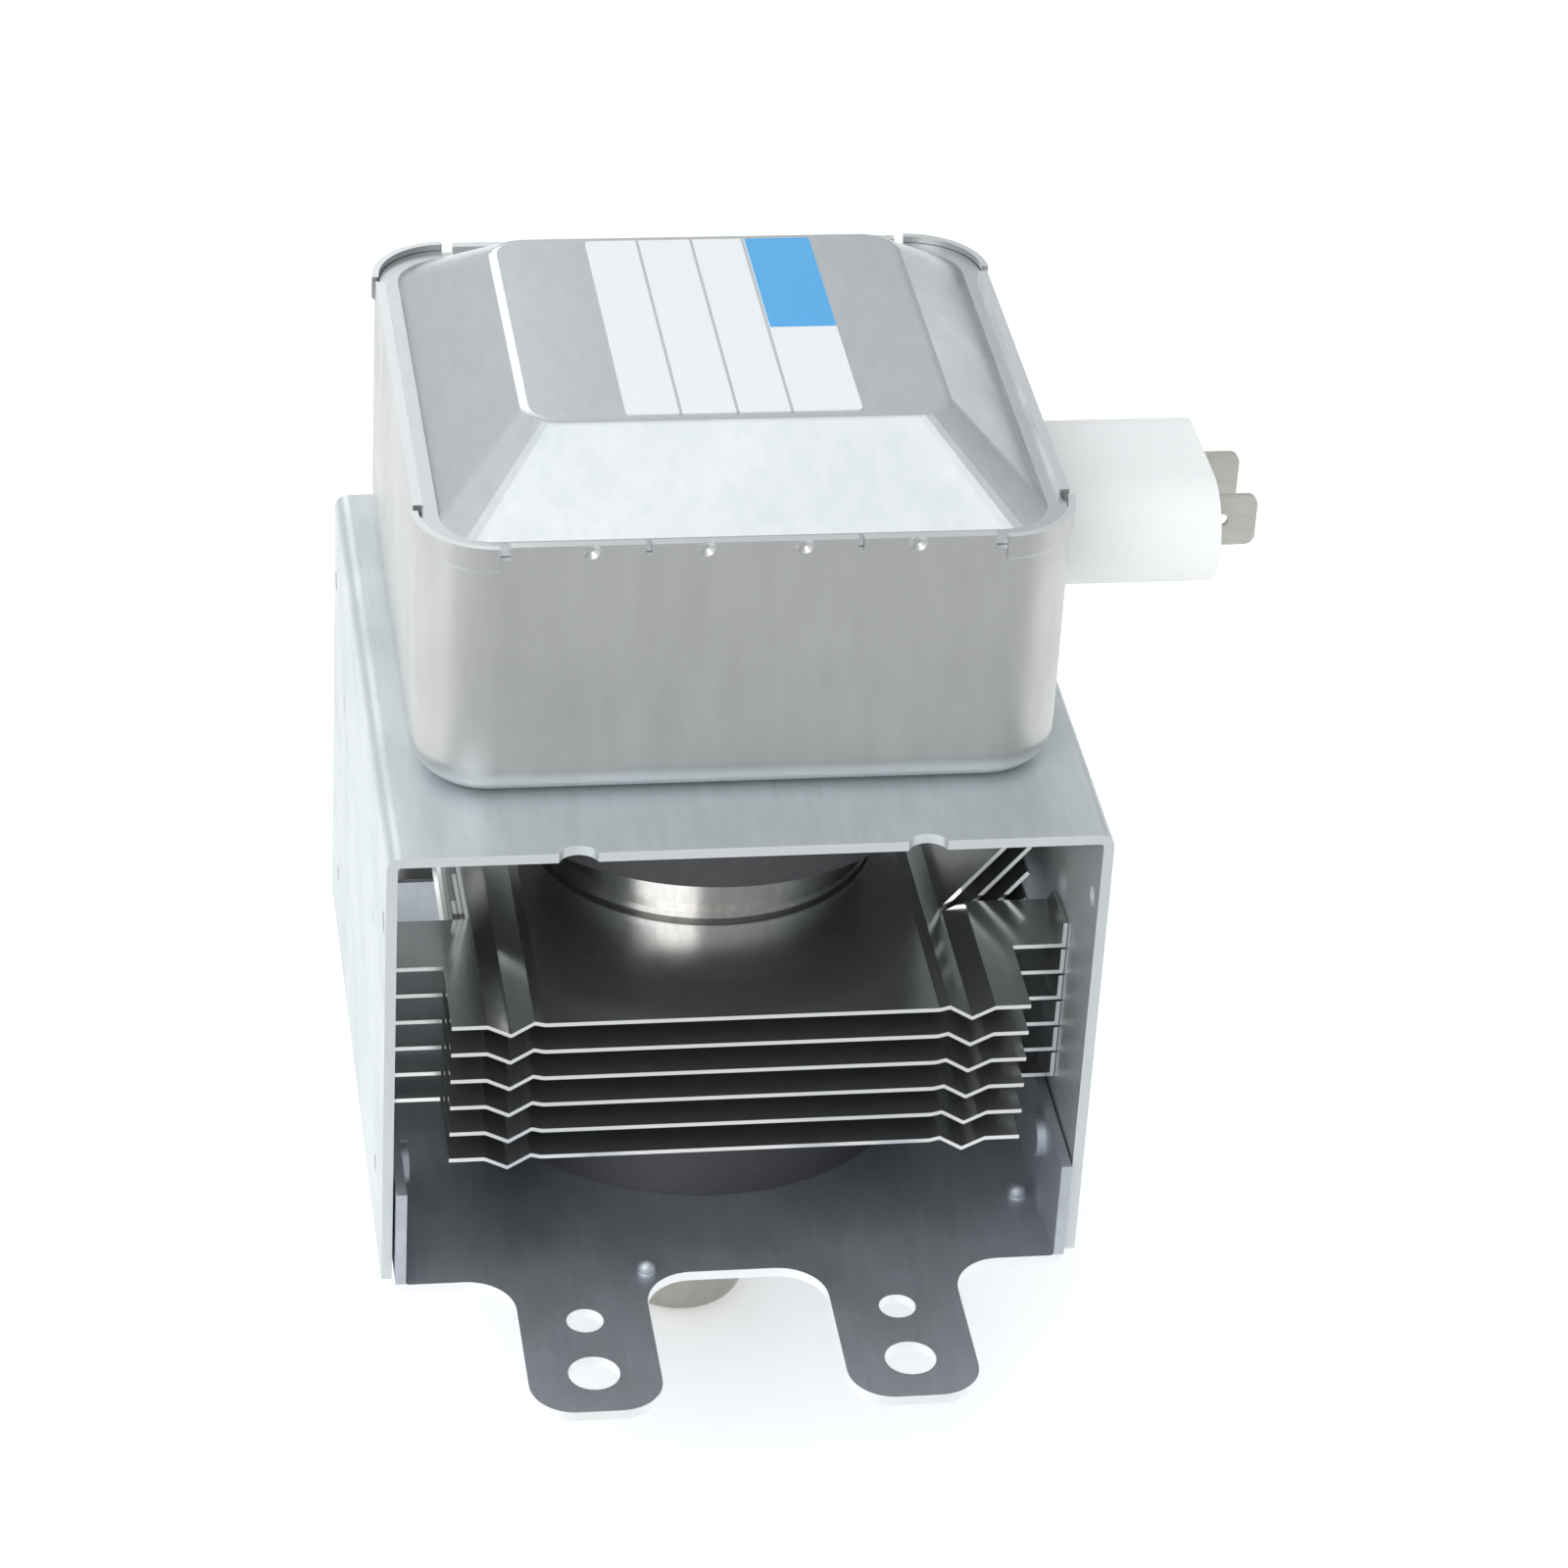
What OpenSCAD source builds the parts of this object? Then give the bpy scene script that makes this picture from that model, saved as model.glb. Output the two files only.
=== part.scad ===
// Microwave-oven magnetron: a resonant-cavity tube between two ring magnets in a folded steel
// yoke, with a stack of cooling fins pressed on the tube and a filter box on top.
// The origin is on the tube's axis at the underside of the mounting plate. +Z points to the
// filter box, -Y to the front and +X to the push-on terminals. All sizes are in millimetres.

/* [Yokes] */
// Outside width of the upper yoke across its side walls
yoke_w = 80; // [78:0.5:86]
// Depth of the upper yoke from front edge to back edge
yoke_d = 80; // [79.5:0.5:86]
// Thickness of the yoke sheet
sheet_t = 1.2; // [1:0.1:1.4]
// Outside radius of the yokes' folds
fold_r = 1.6; // [1.5:0.1:2.5]
// Height of the side walls' lower edges above the underside of the mounting plate
wall_lift = 1.2; // [0.2:0.1:3]
// Depth of the mounting plate without its tabs
plate_d = 82.4; // [79:0.1:86]
// Height of the mounting plate's side flanges
flange_h = 13.8; // [12:0.1:14.2]
// Gap between a side flange and the side wall outside it
yoke_fit = 0.3; // [0.02:0.01:0.4]
// Diameter of the notches in the top plate's front and back edges
notch_d = 4.6; // [3:0.1:6]
// Depth of those notches
notch_depth = 1.5; // [0.5:0.1:2]
// Distance between the two notches of one edge
notch_spacing = 38.4; // [30:0.1:50]
// Diameter of the top plate's hole round the cathode stem
stem_hole_d = 24; // [22:0.5:28]
// Diameter of the mounting plate's hole round the output stem
output_hole_d = 22; // [21:0.5:25]

/* [Clinch joints and dimples] */
// Diameter of the button that a clinch joint presses into the flange
clinch_d = 3.5; // [3:0.1:5]
// Depth of the button
clinch_depth = 1.7; // [1.6:0.1:2.4]
// Wall left round and under the button's pocket
clinch_wall = 0.7; // [0.5:0.1:1]
// Distance between the clinch joints along one wall
clinch_spacing = 60; // [40:1:66]
// Distance of the clinch joints below the flange's upper edge
clinch_edge = 3.6; // [3.2:0.1:6]
// Clearance round a clinch button in its pocket
clinch_fit = 0.1; // [0.05:0.05:0.2]
// Diameter of the side walls' dimples above the fins
dimple_d = 4; // [3:0.1:5]
// Height of a dimple inside the wall
dimple_h = 0.5; // [0.3:0.1:1]
// Gap between a dimple and the wing lips below it
dimple_gap = 0.2; // [0.1:0.1:1]
// Diameter of the small hole near each wall's front edge
wall_hole_d = 2.4; // [1.5:0.1:3.5]
// Distance of that hole's centre from the wall's front edge
wall_hole_inset = 3.1; // [2.5:0.1:6]
// Distance of that hole's centre below the top of the yoke
wall_hole_drop = 10.1; // [8:0.1:14]
// Diameter of the mounting plate's two locating bosses
boss_d = 2.2; // [1.5:0.1:3]
// Height of the locating bosses
boss_h = 1.5; // [1.2:0.1:1.6]
// Gap between one boss's centre and the right flange
boss_flange_gap = 2.2; // [2:0.1:4]
// Distance of that boss behind the plate's front edge
boss_back = 11.9; // [6:0.1:14]
// Distance of the other boss from the inner side of the left tab, towards the axis
boss_tab_gap = 0.5; // [0:0.1:2]
// Distance of the other boss behind the plate's front edge
boss_tab_back = 0.7; // [0.5:0.1:3]

/* [Mounting tabs] */
// Width of a mounting tab
tab_w = 14.9; // [12:0.1:18]
// Reach of the tabs beyond the mounting plate
tab_reach = 24.1; // [20:0.1:30]
// Distance between the two tabs of one side, centre to centre
tab_spacing = 35.6; // [32:0.1:40]
// Radius of the tabs' outer corners
tab_corner_r = 5; // [2:0.5:5.5]
// Radius of the fillets at the tabs' roots
tab_fillet_r = 5.5; // [2:0.5:6]
// Diameter of the fixing hole near a tab's end
fixing_hole_d = 5.8; // [4:0.1:7]
// Distance of the fixing hole's centre from the tab's end
fixing_hole_edge = 6.7; // [5:0.1:8]
// Diameter of the smaller locating hole
locating_hole_d = 4.2; // [3:0.1:5]
// Distance between the fixing hole and the locating hole
tab_hole_spacing = 9.4; // [8:0.1:12]

/* [Magnets and tube] */
// Outside diameter of the ring magnets
magnet_d = 54; // [46:0.5:56]
// Bore of the ring magnets
magnet_bore_d = 22; // [21.5:0.5:26]
// Thickness of one ring magnet
magnet_h = 12.6; // [11.5:0.1:13]
// Outside diameter of the anode cylinder
anode_d = 39; // [36:0.1:42]
// Wall of the anode cylinder
anode_wall = 2.5; // [2:0.1:3.2]
// Height of the anode cylinder
anode_h = 27.2; // [26:0.1:30]
// Height of the raised bead above the fins
bead_h = 0.8; // [0.5:0.1:1.5]
// Amount by which the bead stands out
bead_out = 0.8; // [0.3:0.1:1]
// Gap between the top fin and the bead
bead_gap = 0.5; // [0.2:0.1:1]
// Thickness of the pole pieces
pole_t = 1.6; // [1.2:0.1:2]
// Depth of the pole pieces' dish
pole_dish = 7; // [6:0.1:7.5]
// Diameter of a pole piece's centre hole
pole_hole_d = 10; // [9.5:0.1:11]
// Diameter of a pole piece's dish at the anode's end
dish_d = 26; // [25:0.5:30]
// Diameter of the flat at the bottom of the dish
dish_flat_d = 14; // [13:0.5:15]

/* [Resonator and cathode] */
// Number of anode vanes
vane_n = 10; // [8:2:12]
// Height of a vane
vane_h = 9.5; // [8.5:0.1:10]
// Thickness of a vane
vane_t = 1.9; // [1.4:0.1:2]
// Radius of the space inside the vanes' tips
vane_tip_r = 4.6; // [4.4:0.1:5]
// Inside radius of the inner strap ring
strap_r = 6.2; // [6:0.1:6.4]
// Radial width of a strap ring
strap_w = 0.7; // [0.5:0.1:0.8]
// Radial gap between the two strap rings of one side
strap_gap = 0.9; // [0.6:0.1:1]
// Height of a strap ring
strap_h = 1.2; // [0.8:0.1:1.6]
// Clearance round the strap rings in the vanes' notches
strap_clear = 0.3; // [0.2:0.05:0.4]
// Mean radius of the filament helix
filament_r = 2; // [1.7:0.1:2.3]
// Diameter of the filament wire
filament_wire_d = 0.5; // [0.3:0.05:0.6]
// Turns of the filament
filament_turns = 8; // [6:1:10]
// Diameter of the cathode's end hats
hat_d = 7.2; // [6.8:0.1:7.6]
// Thickness of an end hat
hat_h = 1.3; // [1:0.1:1.6]
// Diameter of the cathode leads
lead_d = 1.5; // [1.2:0.1:1.6]
// Clearance round a lead where it passes through another piece
lead_fit = 0.05; // [0.03:0.01:0.1]
// Distance of the side lead from the axis at the filament
side_lead_low = 2.6; // [2.4:0.1:2.7]
// Distance of the side lead from the axis in the stem
side_lead_high = 5; // [4.4:0.1:6]

/* [Stem and output] */
// Outside diameter of the sealing cups
seal_d = 19.2; // [18:0.1:20]
// Wall of the sealing cups
seal_t = 0.6; // [0.5:0.1:1]
// Gap between a sealing cup's flange and the magnet round it
seal_fit = 0.3; // [0.2:0.1:0.5]
// Height of the cathode side's cup above the top plate
cathode_seal_rise = 3; // [2:0.5:6]
// Diameter of the stem's ceramic insulator
stem_d = 18; // [16:0.2:18.6]
// Width of the ledge on which the insulator is sealed
seal_ledge = 2; // [1:0.1:2.4]
// Height of the stem's ceramic insulator
stem_h = 11; // [8:0.5:12]
// Diameter of a stem terminal
pin_d = 2.6; // [2.3:0.1:3]
// Height of a stem terminal
pin_h = 4.6; // [4:0.1:6]
// Drop of the output side's cup below the mounting plate
output_seal_drop = 1.6; // [1.2:0.1:3]
// Outside diameter of the output ceramic
output_ceramic_d = 17; // [16.6:0.1:17.4]
// Wall of the output ceramic
output_ceramic_wall = 1.8; // [1.4:0.1:2.4]
// Length of the output ceramic
output_ceramic_h = 11.4; // [8:0.2:14]
// Outside diameter of the exhaust tube
exhaust_d = 5.2; // [4:0.1:6]
// Length of the exhaust tube below its flange
exhaust_l = 12; // [9:0.5:14]
// Length of the exhaust tube's closed end
exhaust_plug_l = 2; // [1.5:0.1:3]
// Thickness of the exhaust tube's pinched end
pinch_t = 2; // [1.6:0.1:2.4]
// Slope of the pinched end's two sides
pinch_angle = 25; // [15:1:30]
// Diameter of the antenna lead
antenna_lead_d = 2; // [1.6:0.1:2.4]
// Radius at which the antenna lead joins a vane
antenna_lead_r = 10; // [9.8:0.1:10.6]
// Diameter of the lower pole piece's hole round the antenna lead
antenna_hole_d = 5.2; // [4.6:0.1:5.6]
// Distance of that hole's axis inside the lead's
antenna_hole_shift = 0.6; // [0.4:0.1:0.8]
// Outside diameter of the antenna cap
cap_d = 16.2; // [12:0.1:16.6]
// Length of the antenna cap
cap_l = 17.6; // [15:0.2:20]
// Wall of the antenna cap
cap_t = 0.5; // [0.4:0.1:1]
// Radius of the antenna cap's end
cap_end_r = 2.4; // [1.2:0.1:3]
// Thickness of the gasket ring's flange and collar
gasket_ring_t = 0.8; // [0.6:0.1:1.2]
// Outside diameter of the mesh gasket
gasket_d = 31; // [29:0.5:35]
// Height of the mesh gasket
gasket_h = 4.6; // [3:0.1:6]
// Amount by which the gasket ring's bore is smaller than the plate's hole
gasket_step = 0.4; // [0.2:0.1:0.6]
// Radius of the mesh gasket's edges
gasket_edge_r = 1.2; // [0.6:0.1:1.4]

/* [Cooling fins] */
// Thickness of the fin sheet
fin_t = 0.5; // [0.4:0.05:0.6]
// Distance from one fin to the next
fin_pitch = 3.6; // [3.4:0.05:3.8]
// Height of the lowest fin above the anode cylinder's lower end
fin_lift = 1.1; // [0.8:0.1:1.4]
// Depth of a fin from front edge to back edge
fin_d = 78; // [74:0.5:79]
// Width of a fin at its front and back edges
fin_w = 65; // [62:0.2:70]
// Distance of the V grooves from the axis
groove_x = 25.9; // [24:0.1:27]
// Width of a V groove
groove_w = 5.2; // [4:0.1:6]
// Depth of a V groove
groove_depth = 1.3; // [0.8:0.1:1.4]
// Height of the crest at a groove's inner side
crest_h = 0.3; // [0:0.05:0.6]
// Width of that crest
crest_w = 1.2; // [0.8:0.1:1.6]
// Distance of the wings' outer edges from the axis, front to back
wing_y = 27.2; // [25:0.1:30]
// Height of the turned-up lip at a wing's end
wing_lip_h = 3.3; // [2:0.1:3.3]
// Length over which a wing's lip rises
wing_lip_run = 2.5; // [1:0.1:4]
// Gap between a wing's lip and the yoke's side wall
wing_gap = 0.1; // [0.05:0.05:0.3]
// Length of a flap along its fold
flap_l = 34.6; // [30:0.2:36]
// Height of the right flaps from the bottom of their groove to their edge
flap_h_right = 15.8; // [12:0.2:16]
// Height of the left flaps from their fold to their edge
flap_h_left = 10; // [8:0.2:13.6]
// Distance of the left flaps' folds outside their groove
flap_setback = 0.6; // [0.2:0.1:1.5]
// Angle of the right flaps above the fin
flap_angle_right = 50; // [45:1:60]
// Angle of the left flaps above the fin
flap_angle_left = 80.5; // [60:0.5:81]
// Slit between a flap and the wings beside it
flap_slit = 0.6; // [0.4:0.1:1.5]
// Height of the collar that grips the anode cylinder
collar_h = 1.5; // [0.8:0.1:1.6]
// Clearance between a fin's collar and the anode cylinder
fin_fit = 0.03; // [0.02:0.01:0.1]

/* [Filter box] */
// Outside width of the filter box
box_w = 72; // [70:0.5:76]
// Outside depth of the filter box
box_d = 72; // [70:0.5:76]
// Height of the filter box to its rim
box_h = 32.2; // [28:0.2:36]
// Wall of the filter box
box_t = 0.8; // [0.6:0.05:1]
// Distance of the filter box's centre behind the tube's axis
box_y = 6.5; // [5:0.1:7]
// Outside radius of the box's upright corners
box_corner_r = 8.5; // [8:0.5:12]
// Outside radius of the box's lower edge
box_base_r = 4.2; // [2:0.1:4.6]
// Height of the rim's standing corner segments
rim_h = 3; // [2.6:0.1:4]
// Amount by which the corner segments stand out
rim_out = 0.35; // [0.2:0.05:0.7]
// Width of the slits between corner segments and sides
rim_slit = 1.2; // [0.6:0.1:2]
// Depth of those slits below the rim
rim_slit_h = 1.6; // [1:0.1:2.4]
// Width of the crimped edge that holds the lid
crimp_w = 1.1; // [0.9:0.1:1.6]
// Width of the nicks in the crimped front and back edges
nick_w = 0.6; // [0.3:0.1:1]
// Depth of the nicks below the rim
nick_h = 1.4; // [1:0.1:2]
// Distance between the two nicks of one edge
nick_spacing = 23; // [20:0.5:26]
// Diameter of the crimping tool's dents beside the nicks
dent_d = 2; // [1:0.1:2.4]
// Depth of the dents
dent_h = 0.4; // [0.2:0.1:0.5]
// Distance of a dent from the nick it belongs to
dent_gap = 6.2; // [4:0.1:8]
// Distance of the rivets from the box's left and right sides
rivet_inset_x = 9; // [8.5:0.25:9.5]
// Distance of the rivets from the box's front and back
rivet_inset_y = 8; // [7.5:0.25:9]
// Diameter of the rivets' shanks
rivet_d = 3.2; // [2.6:0.1:3.6]
// Diameter of the rivets' heads
rivet_head_d = 5.6; // [5:0.1:6]
// Height of the rivets' heads
rivet_head_h = 1; // [0.6:0.1:1.4]
// Clearance round the rivets' shanks
rivet_fit = 0.05; // [0.03:0.01:0.15]

/* [Filter lid] */
// Thickness of the lid
lid_t = 0.8; // [0.6:0.05:1]
// Clearance round the lid in the box
lid_fit = 0.1; // [0.05:0.05:0.3]
// Width of the lid's flat flange
lid_flange_w = 1.8; // [1.6:0.1:3]
// Rise of the plateau above the flange
lid_rise = 8.2; // [5:0.1:11]
// Width of the plateau
plateau_w = 49; // [42:0.5:54]
// Depth of the plateau
plateau_d = 46; // [45:0.5:52]
// Radius of the plateau's corners
plateau_corner_r = 5; // [4:0.5:9]
// Radius of the bend round the plateau
shoulder_r = 1.6; // [1:0.1:2]
// Width of the label
label_w = 26; // [20:0.5:34]
// Length of the label
label_l = 41.5; // [34:0.5:41.5]
// Thickness of the label
label_t = 0.15; // [0.1:0.05:0.3]
// Radius of the label's corners
label_corner_r = 0.5; // [0.2:0.1:2]
// Distance of the label's centre to the right of the box's centre
label_x = 0.5; // [-3:0.1:3]

/* [Connector and filter] */
// Distance of the connector's centre behind the tube's axis
connector_y = 6.3; // [5.5:0.1:8]
// Height of the connector's centre above the bottom of the box
connector_z = 15.8; // [15:0.2:17]
// Length of the connector housing across its round ends
housing_l = 25; // [24:0.2:28]
// Thickness of the connector housing
housing_h = 13; // [12:0.1:15]
// Reach of the connector housing beyond the box
housing_reach = 21.4; // [16:0.2:26]
// Depth of the recess in the housing's end
housing_recess = 1.2; // [0.8:0.1:2]
// Wall round that recess
housing_wall = 1.5; // [1.2:0.1:2]
// Clearance round the housing in the box's wall
housing_fit = 0.1; // [0.05:0.05:0.2]
// Distance between the two terminals
terminal_spacing = 10; // [9.6:0.1:12]
// Width of a push-on terminal
terminal_w = 6.35; // [4.75:0.05:6.35]
// Thickness of a push-on terminal
terminal_t = 0.8; // [0.5:0.05:0.8]
// Reach of the terminals beyond the housing
terminal_reach = 5.7; // [5.5:0.1:9]
// Radius of the terminals' corners
terminal_corner_r = 1.2; // [0.5:0.1:1.5]
// Diameter of the latch hole in a terminal
latch_hole_d = 1.7; // [1.2:0.1:2]
// Distance of the latch hole from the terminal's end
latch_hole_edge = 4.1; // [3.8:0.1:4.5]
// Diameter of the terminals' rods through the capacitor
rod_d = 2; // [1.6:0.1:2.2]
// Clearance round a rod
rod_fit = 0.05; // [0.03:0.01:0.1]
// Thickness of the ground plate
ground_plate_t = 0.8; // [0.6:0.1:1.2]
// Width of the ground plate beyond the housing and the rivets
ground_margin = 1; // [0.5:0.1:1.5]
// Diameter of the ground plate's holes round the rods
ground_hole_d = 5; // [4:0.1:6]
// Diameter of the ground plate's rivets
ground_rivet_d = 2.4; // [2:0.1:2.6]
// Diameter of the ground rivets' heads
ground_rivet_head_d = 4.2; // [3.6:0.1:4.6]
// Gap between the ground rivets' heads and the housing
ground_rivet_gap = 0.3; // [0.2:0.1:1]
// Length of the capacitor block inside the box
capacitor_l = 5; // [4:0.1:6]
// Amount by which the capacitor block is smaller all round than the housing
capacitor_inset = 1; // [0.5:0.1:2]
// Length of the bare rods inside the box
rod_end_l = 2.5; // [1.5:0.1:3]
// Mean radius of the choke coils
choke_r = 3.3; // [3:0.1:3.6]
// Diameter of the choke wire
choke_wire_d = 1.4; // [1:0.05:1.4]
// Distance between the turns of a choke coil
choke_pitch = 1.75; // [1.65:0.05:2.2]
// Gap between a choke coil's last turn and the stem
choke_stem_gap = 2.2; // [1.6:0.1:3]
// Length of the straight wire at each end of a choke coil
choke_lead_l = 0.7; // [0.5:0.1:0.8]
// Clearance between a choke's core and its wire
choke_core_fit = 0.3; // [0.1:0.05:0.5]

/* [Hidden] */
$fn = 48;
facet_fn = 32;
wire_sides = 8;
eps = 0.01;
cut = 1;
// Gap left where two pieces touch and a wire's flat sides would cut in
touch_gap = 0.05;

fin_n = 6;
anode_r = anode_d / 2;
anode_in_r = anode_r - anode_wall;
magnet_low_z = sheet_t;
pole_low_z = magnet_low_z + magnet_h;
anode_z = pole_low_z + pole_t;
pole_high_z = anode_z + anode_h;
magnet_high_z = pole_high_z + pole_t;
top_under_z = magnet_high_z + magnet_h;
yoke_h = top_under_z + sheet_t;
anode_mid_z = anode_z + anode_h / 2;

notch_y = yoke_d / 2 + notch_d / 2 - notch_depth;
wall_in_x = yoke_w / 2 - sheet_t;
flange_out_x = wall_in_x - yoke_fit;
flange_in_x = flange_out_x - sheet_t;
clinch_z = flange_h - clinch_edge;
clinch_tip_x = wall_in_x - clinch_depth;
tab_tip_y = plate_d / 2 + tab_reach;
fixing_hole_y = tab_tip_y - fixing_hole_edge;
locating_hole_y = fixing_hole_y - tab_hole_spacing;

fin_z = anode_z + fin_lift;
fin_top_z = fin_z + (fin_n - 1) * fin_pitch;
fold_x = groove_x + groove_w / 2;
crest_x = groove_x - groove_w / 2;
flap_left_x = fold_x + flap_setback;
wing_x = wall_in_x - wing_gap;
wing_in_y = flap_l / 2 + flap_slit;
bead_z = fin_top_z + fin_t + bead_gap;
dimple_z = fin_top_z + wing_lip_h + dimple_d / 2 + dimple_gap;
dimple_y = (wing_y + wing_in_y) / 2;

vane_low_z = anode_mid_z - vane_h / 2;
vane_high_z = anode_mid_z + vane_h / 2;
vane_out_x = sqrt(anode_in_r * anode_in_r - vane_t * vane_t / 4);
strap_out_r = strap_r + strap_w + strap_gap;
lead_r = lead_d / 2;
hat_low_z = vane_low_z - hat_h;

seal_r = seal_d / 2;
seal_lip_r = magnet_bore_d / 2 - seal_fit;
stem_z = yoke_h + cathode_seal_rise;
pin_z = stem_z + stem_h;
output_ceramic_r = output_ceramic_d / 2;
output_ceramic_in_r = output_ceramic_r - output_ceramic_wall;
output_ceramic_z = -output_seal_drop - output_ceramic_h;
exhaust_flange_t = 0.8;
cap_z = output_ceramic_z - exhaust_flange_t;
gasket_in_r = output_hole_d / 2 - gasket_step;

box_z = yoke_h;
rim_z = box_z + box_h;
rim_base_z = rim_z - rim_h;
lid_flange_z = rim_z - box_t - lid_t;
lid_ledge_z = lid_flange_z - touch_gap;
rivet_spacing_x = box_w - 2 * rivet_inset_x;
rivet_spacing_y = box_d - 2 * rivet_inset_y;
lid_w = box_w - 2 * box_t - 2 * lid_fit;
lid_d = box_d - 2 * box_t - 2 * lid_fit;
lid_corner_r = box_corner_r - box_t - lid_fit;
plateau_z = rim_z - box_t + lid_rise;

wall_x = box_w / 2;
connector_abs_z = box_z + connector_z;
housing_end_x = wall_x + housing_reach;
housing_floor_x = housing_end_x - housing_recess;
terminal_tip_x = housing_end_x + terminal_reach;
ground_x = wall_x - box_t - ground_plate_t;
capacitor_x = ground_x - capacitor_l;
rod_end_x = capacitor_x - rod_end_l;
ground_rivet_y = housing_l / 2 + ground_rivet_head_d / 2 + ground_rivet_gap;
choke_z = connector_abs_z - choke_r;
choke_start_x = rod_end_x - choke_lead_l;
choke_end_x = stem_d / 2 + choke_stem_gap;
choke_l = choke_start_x - choke_end_x;
winding_ramp = 0.06;
choke_turns = floor(choke_l * (1 - winding_ramp) / choke_pitch);
choke_core_d = 2 * (choke_r - choke_wire_d / 2 - choke_core_fit);

steel = "#b4babd";
plate_steel = "#6d737b";
box_steel = "#aeb2b2";
ferrite = "#4a4850";
aluminium = "#c9cbca";
copper = "#c08a62";
ceramic = "#e9e3d9";

// Flat outline of a rectangle with rounded corners
module rounded_rect(w, d, r) {
    square([w - 2 * r, d], center = true);
    square([w, d - 2 * r], center = true);
    for (x = [-1, 1], y = [-1, 1])
        translate([x * (w / 2 - r), y * (d / 2 - r)]) circle(r);
}

// Flat outline of a slot with round ends, along the first axis
module racetrack(l, h) {
    square([l - h, h], center = true);
    for (x = [-1, 1])
        translate([x * (l - h) / 2, 0]) circle(d = h);
}

// Upright rectangle whose two lower corners are rounded
module rounded_foot(w, h, r) {
    translate([-w / 2, r]) square([w, h - r]);
    translate([-w / 2 + r, 0]) square([w - 2 * r, h]);
    for (x = [-1, 1])
        translate([x * (w / 2 - r), r]) circle(r);
}

// Section of a sheet folded up at both sides
module folded_section(w, h) {
    difference() {
        rounded_foot(w, h, fold_r);
        translate([0, sheet_t]) rounded_foot(w - 2 * sheet_t, h, fold_r - sheet_t);
    }
}

// Extrusion along Y of an outline drawn in X and Z
module along_y(l) {
    rotate([90, 0, 0]) linear_extrude(l, center = true) children();
}

// Extrusion along +X of an outline drawn in Y and Z
module along_x(l) {
    rotate([90, 0, 90]) linear_extrude(l) children();
}

// Cylinder along X between two stations
module rod_x(x0, x1, d) {
    translate([min(x0, x1), 0, 0]) rotate([0, 90, 0]) cylinder(h = abs(x1 - x0), d = d);
}

// Solid of a drawn box with rounded upright corners and a rounded lower edge
module drawn_block(w, d, h, corner_r, base_r) {
    along_y(d - 2 * corner_r) rounded_foot(w, h, base_r);
    translate([-(w - 2 * corner_r) / 2, 0, 0])
        along_x(w - 2 * corner_r) rounded_foot(d, h, base_r);
    for (x = [-1, 1], y = [-1, 1])
        translate([x * (w / 2 - corner_r), y * (d / 2 - corner_r), 0])
            rotate_extrude() intersection() {
                rounded_foot(2 * corner_r, h, base_r);
                square([corner_r, h]);
            }
}

// Places its children at both walls, facing outwards along +X
module both_walls() {
    for (turn = [0, 180])
        rotate([0, 0, turn]) children();
}

// Unit vector
function unit(v) = v / norm(v);

// Direction of a path at one of its points
function path_direction(path, i) =
    unit(path[min(i + 1, len(path) - 1)] - path[max(i - 1, 0)]);

// One ring of points round a path, starting from the part of a side vector square to the path
function wire_ring(point, direction, side, r) =
    let (u = unit(side - (side * direction) * direction), v = cross(direction, u))
    [for (k = [0 : wire_sides - 1])
        point + r * (cos(360 * k / wire_sides) * u + sin(360 * k / wire_sides) * v)];

// Round wire along a path, with one side vector for each point
module wire(path, sides, d) {
    n = wire_sides;
    last = len(path) - 1;
    points = [for (i = [0 : last])
        each wire_ring(path[i], path_direction(path, i), sides[i], d / 2)];
    walls = [for (i = [0 : last - 1], k = [0 : n - 1])
        [i * n + k, (i + 1) * n + k, (i + 1) * n + (k + 1) % n, i * n + (k + 1) % n]];
    start_face = [for (k = [0 : n - 1]) k];
    end_face = [for (k = [n - 1 : -1 : 0]) last * n + k];
    polyhedron(points = points, faces = concat(walls, [start_face, end_face]));
}

// Folded steel yoke: top plate and two side walls
module upper_yoke() color(steel) {
    difference() {
        union() {
            difference() {
                translate([0, 0, yoke_h]) mirror([0, 0, 1])
                    along_y(yoke_d) folded_section(yoke_w, yoke_h - wall_lift);
                for (x = [-1, 1], y = [-1, 1])
                    translate([x * notch_spacing / 2, y * notch_y, top_under_z - cut])
                        cylinder(h = sheet_t + 2 * cut, d = notch_d);
                translate([0, 0, top_under_z - cut])
                    cylinder(h = sheet_t + 2 * cut, d = stem_hole_d);
                rivet_places() translate([0, 0, top_under_z - cut])
                    cylinder(h = sheet_t + 2 * cut, d = rivet_d + 2 * rivet_fit);
            }
            both_walls() {
                clinch_places() rod_x(clinch_tip_x, wall_in_x + eps, clinch_d);
                dimple_places() translate([wall_in_x + eps, 0, 0]) rotate([0, -90, 0])
                    cylinder(h = dimple_h, d1 = dimple_d, d2 = dimple_d / 2);
            }
        }
        both_walls() {
            clinch_places()
                rod_x(clinch_tip_x + clinch_wall, yoke_w / 2 + cut, clinch_d - 2 * clinch_wall);
            dimple_places() translate([yoke_w / 2 + eps, 0, 0]) rotate([0, -90, 0])
                cylinder(h = dimple_h, d1 = dimple_d, d2 = dimple_d / 2);
            for (y = [-1, 1])
                translate([0, y * (yoke_d / 2 - wall_hole_inset), yoke_h - wall_hole_drop])
                    rod_x(wall_in_x - cut, yoke_w / 2 + cut, wall_hole_d);
        }
    }
}

// Clinch joints along one side wall
module clinch_places() {
    for (y = [-1, 1])
        translate([0, y * clinch_spacing / 2, clinch_z]) children();
}

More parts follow.
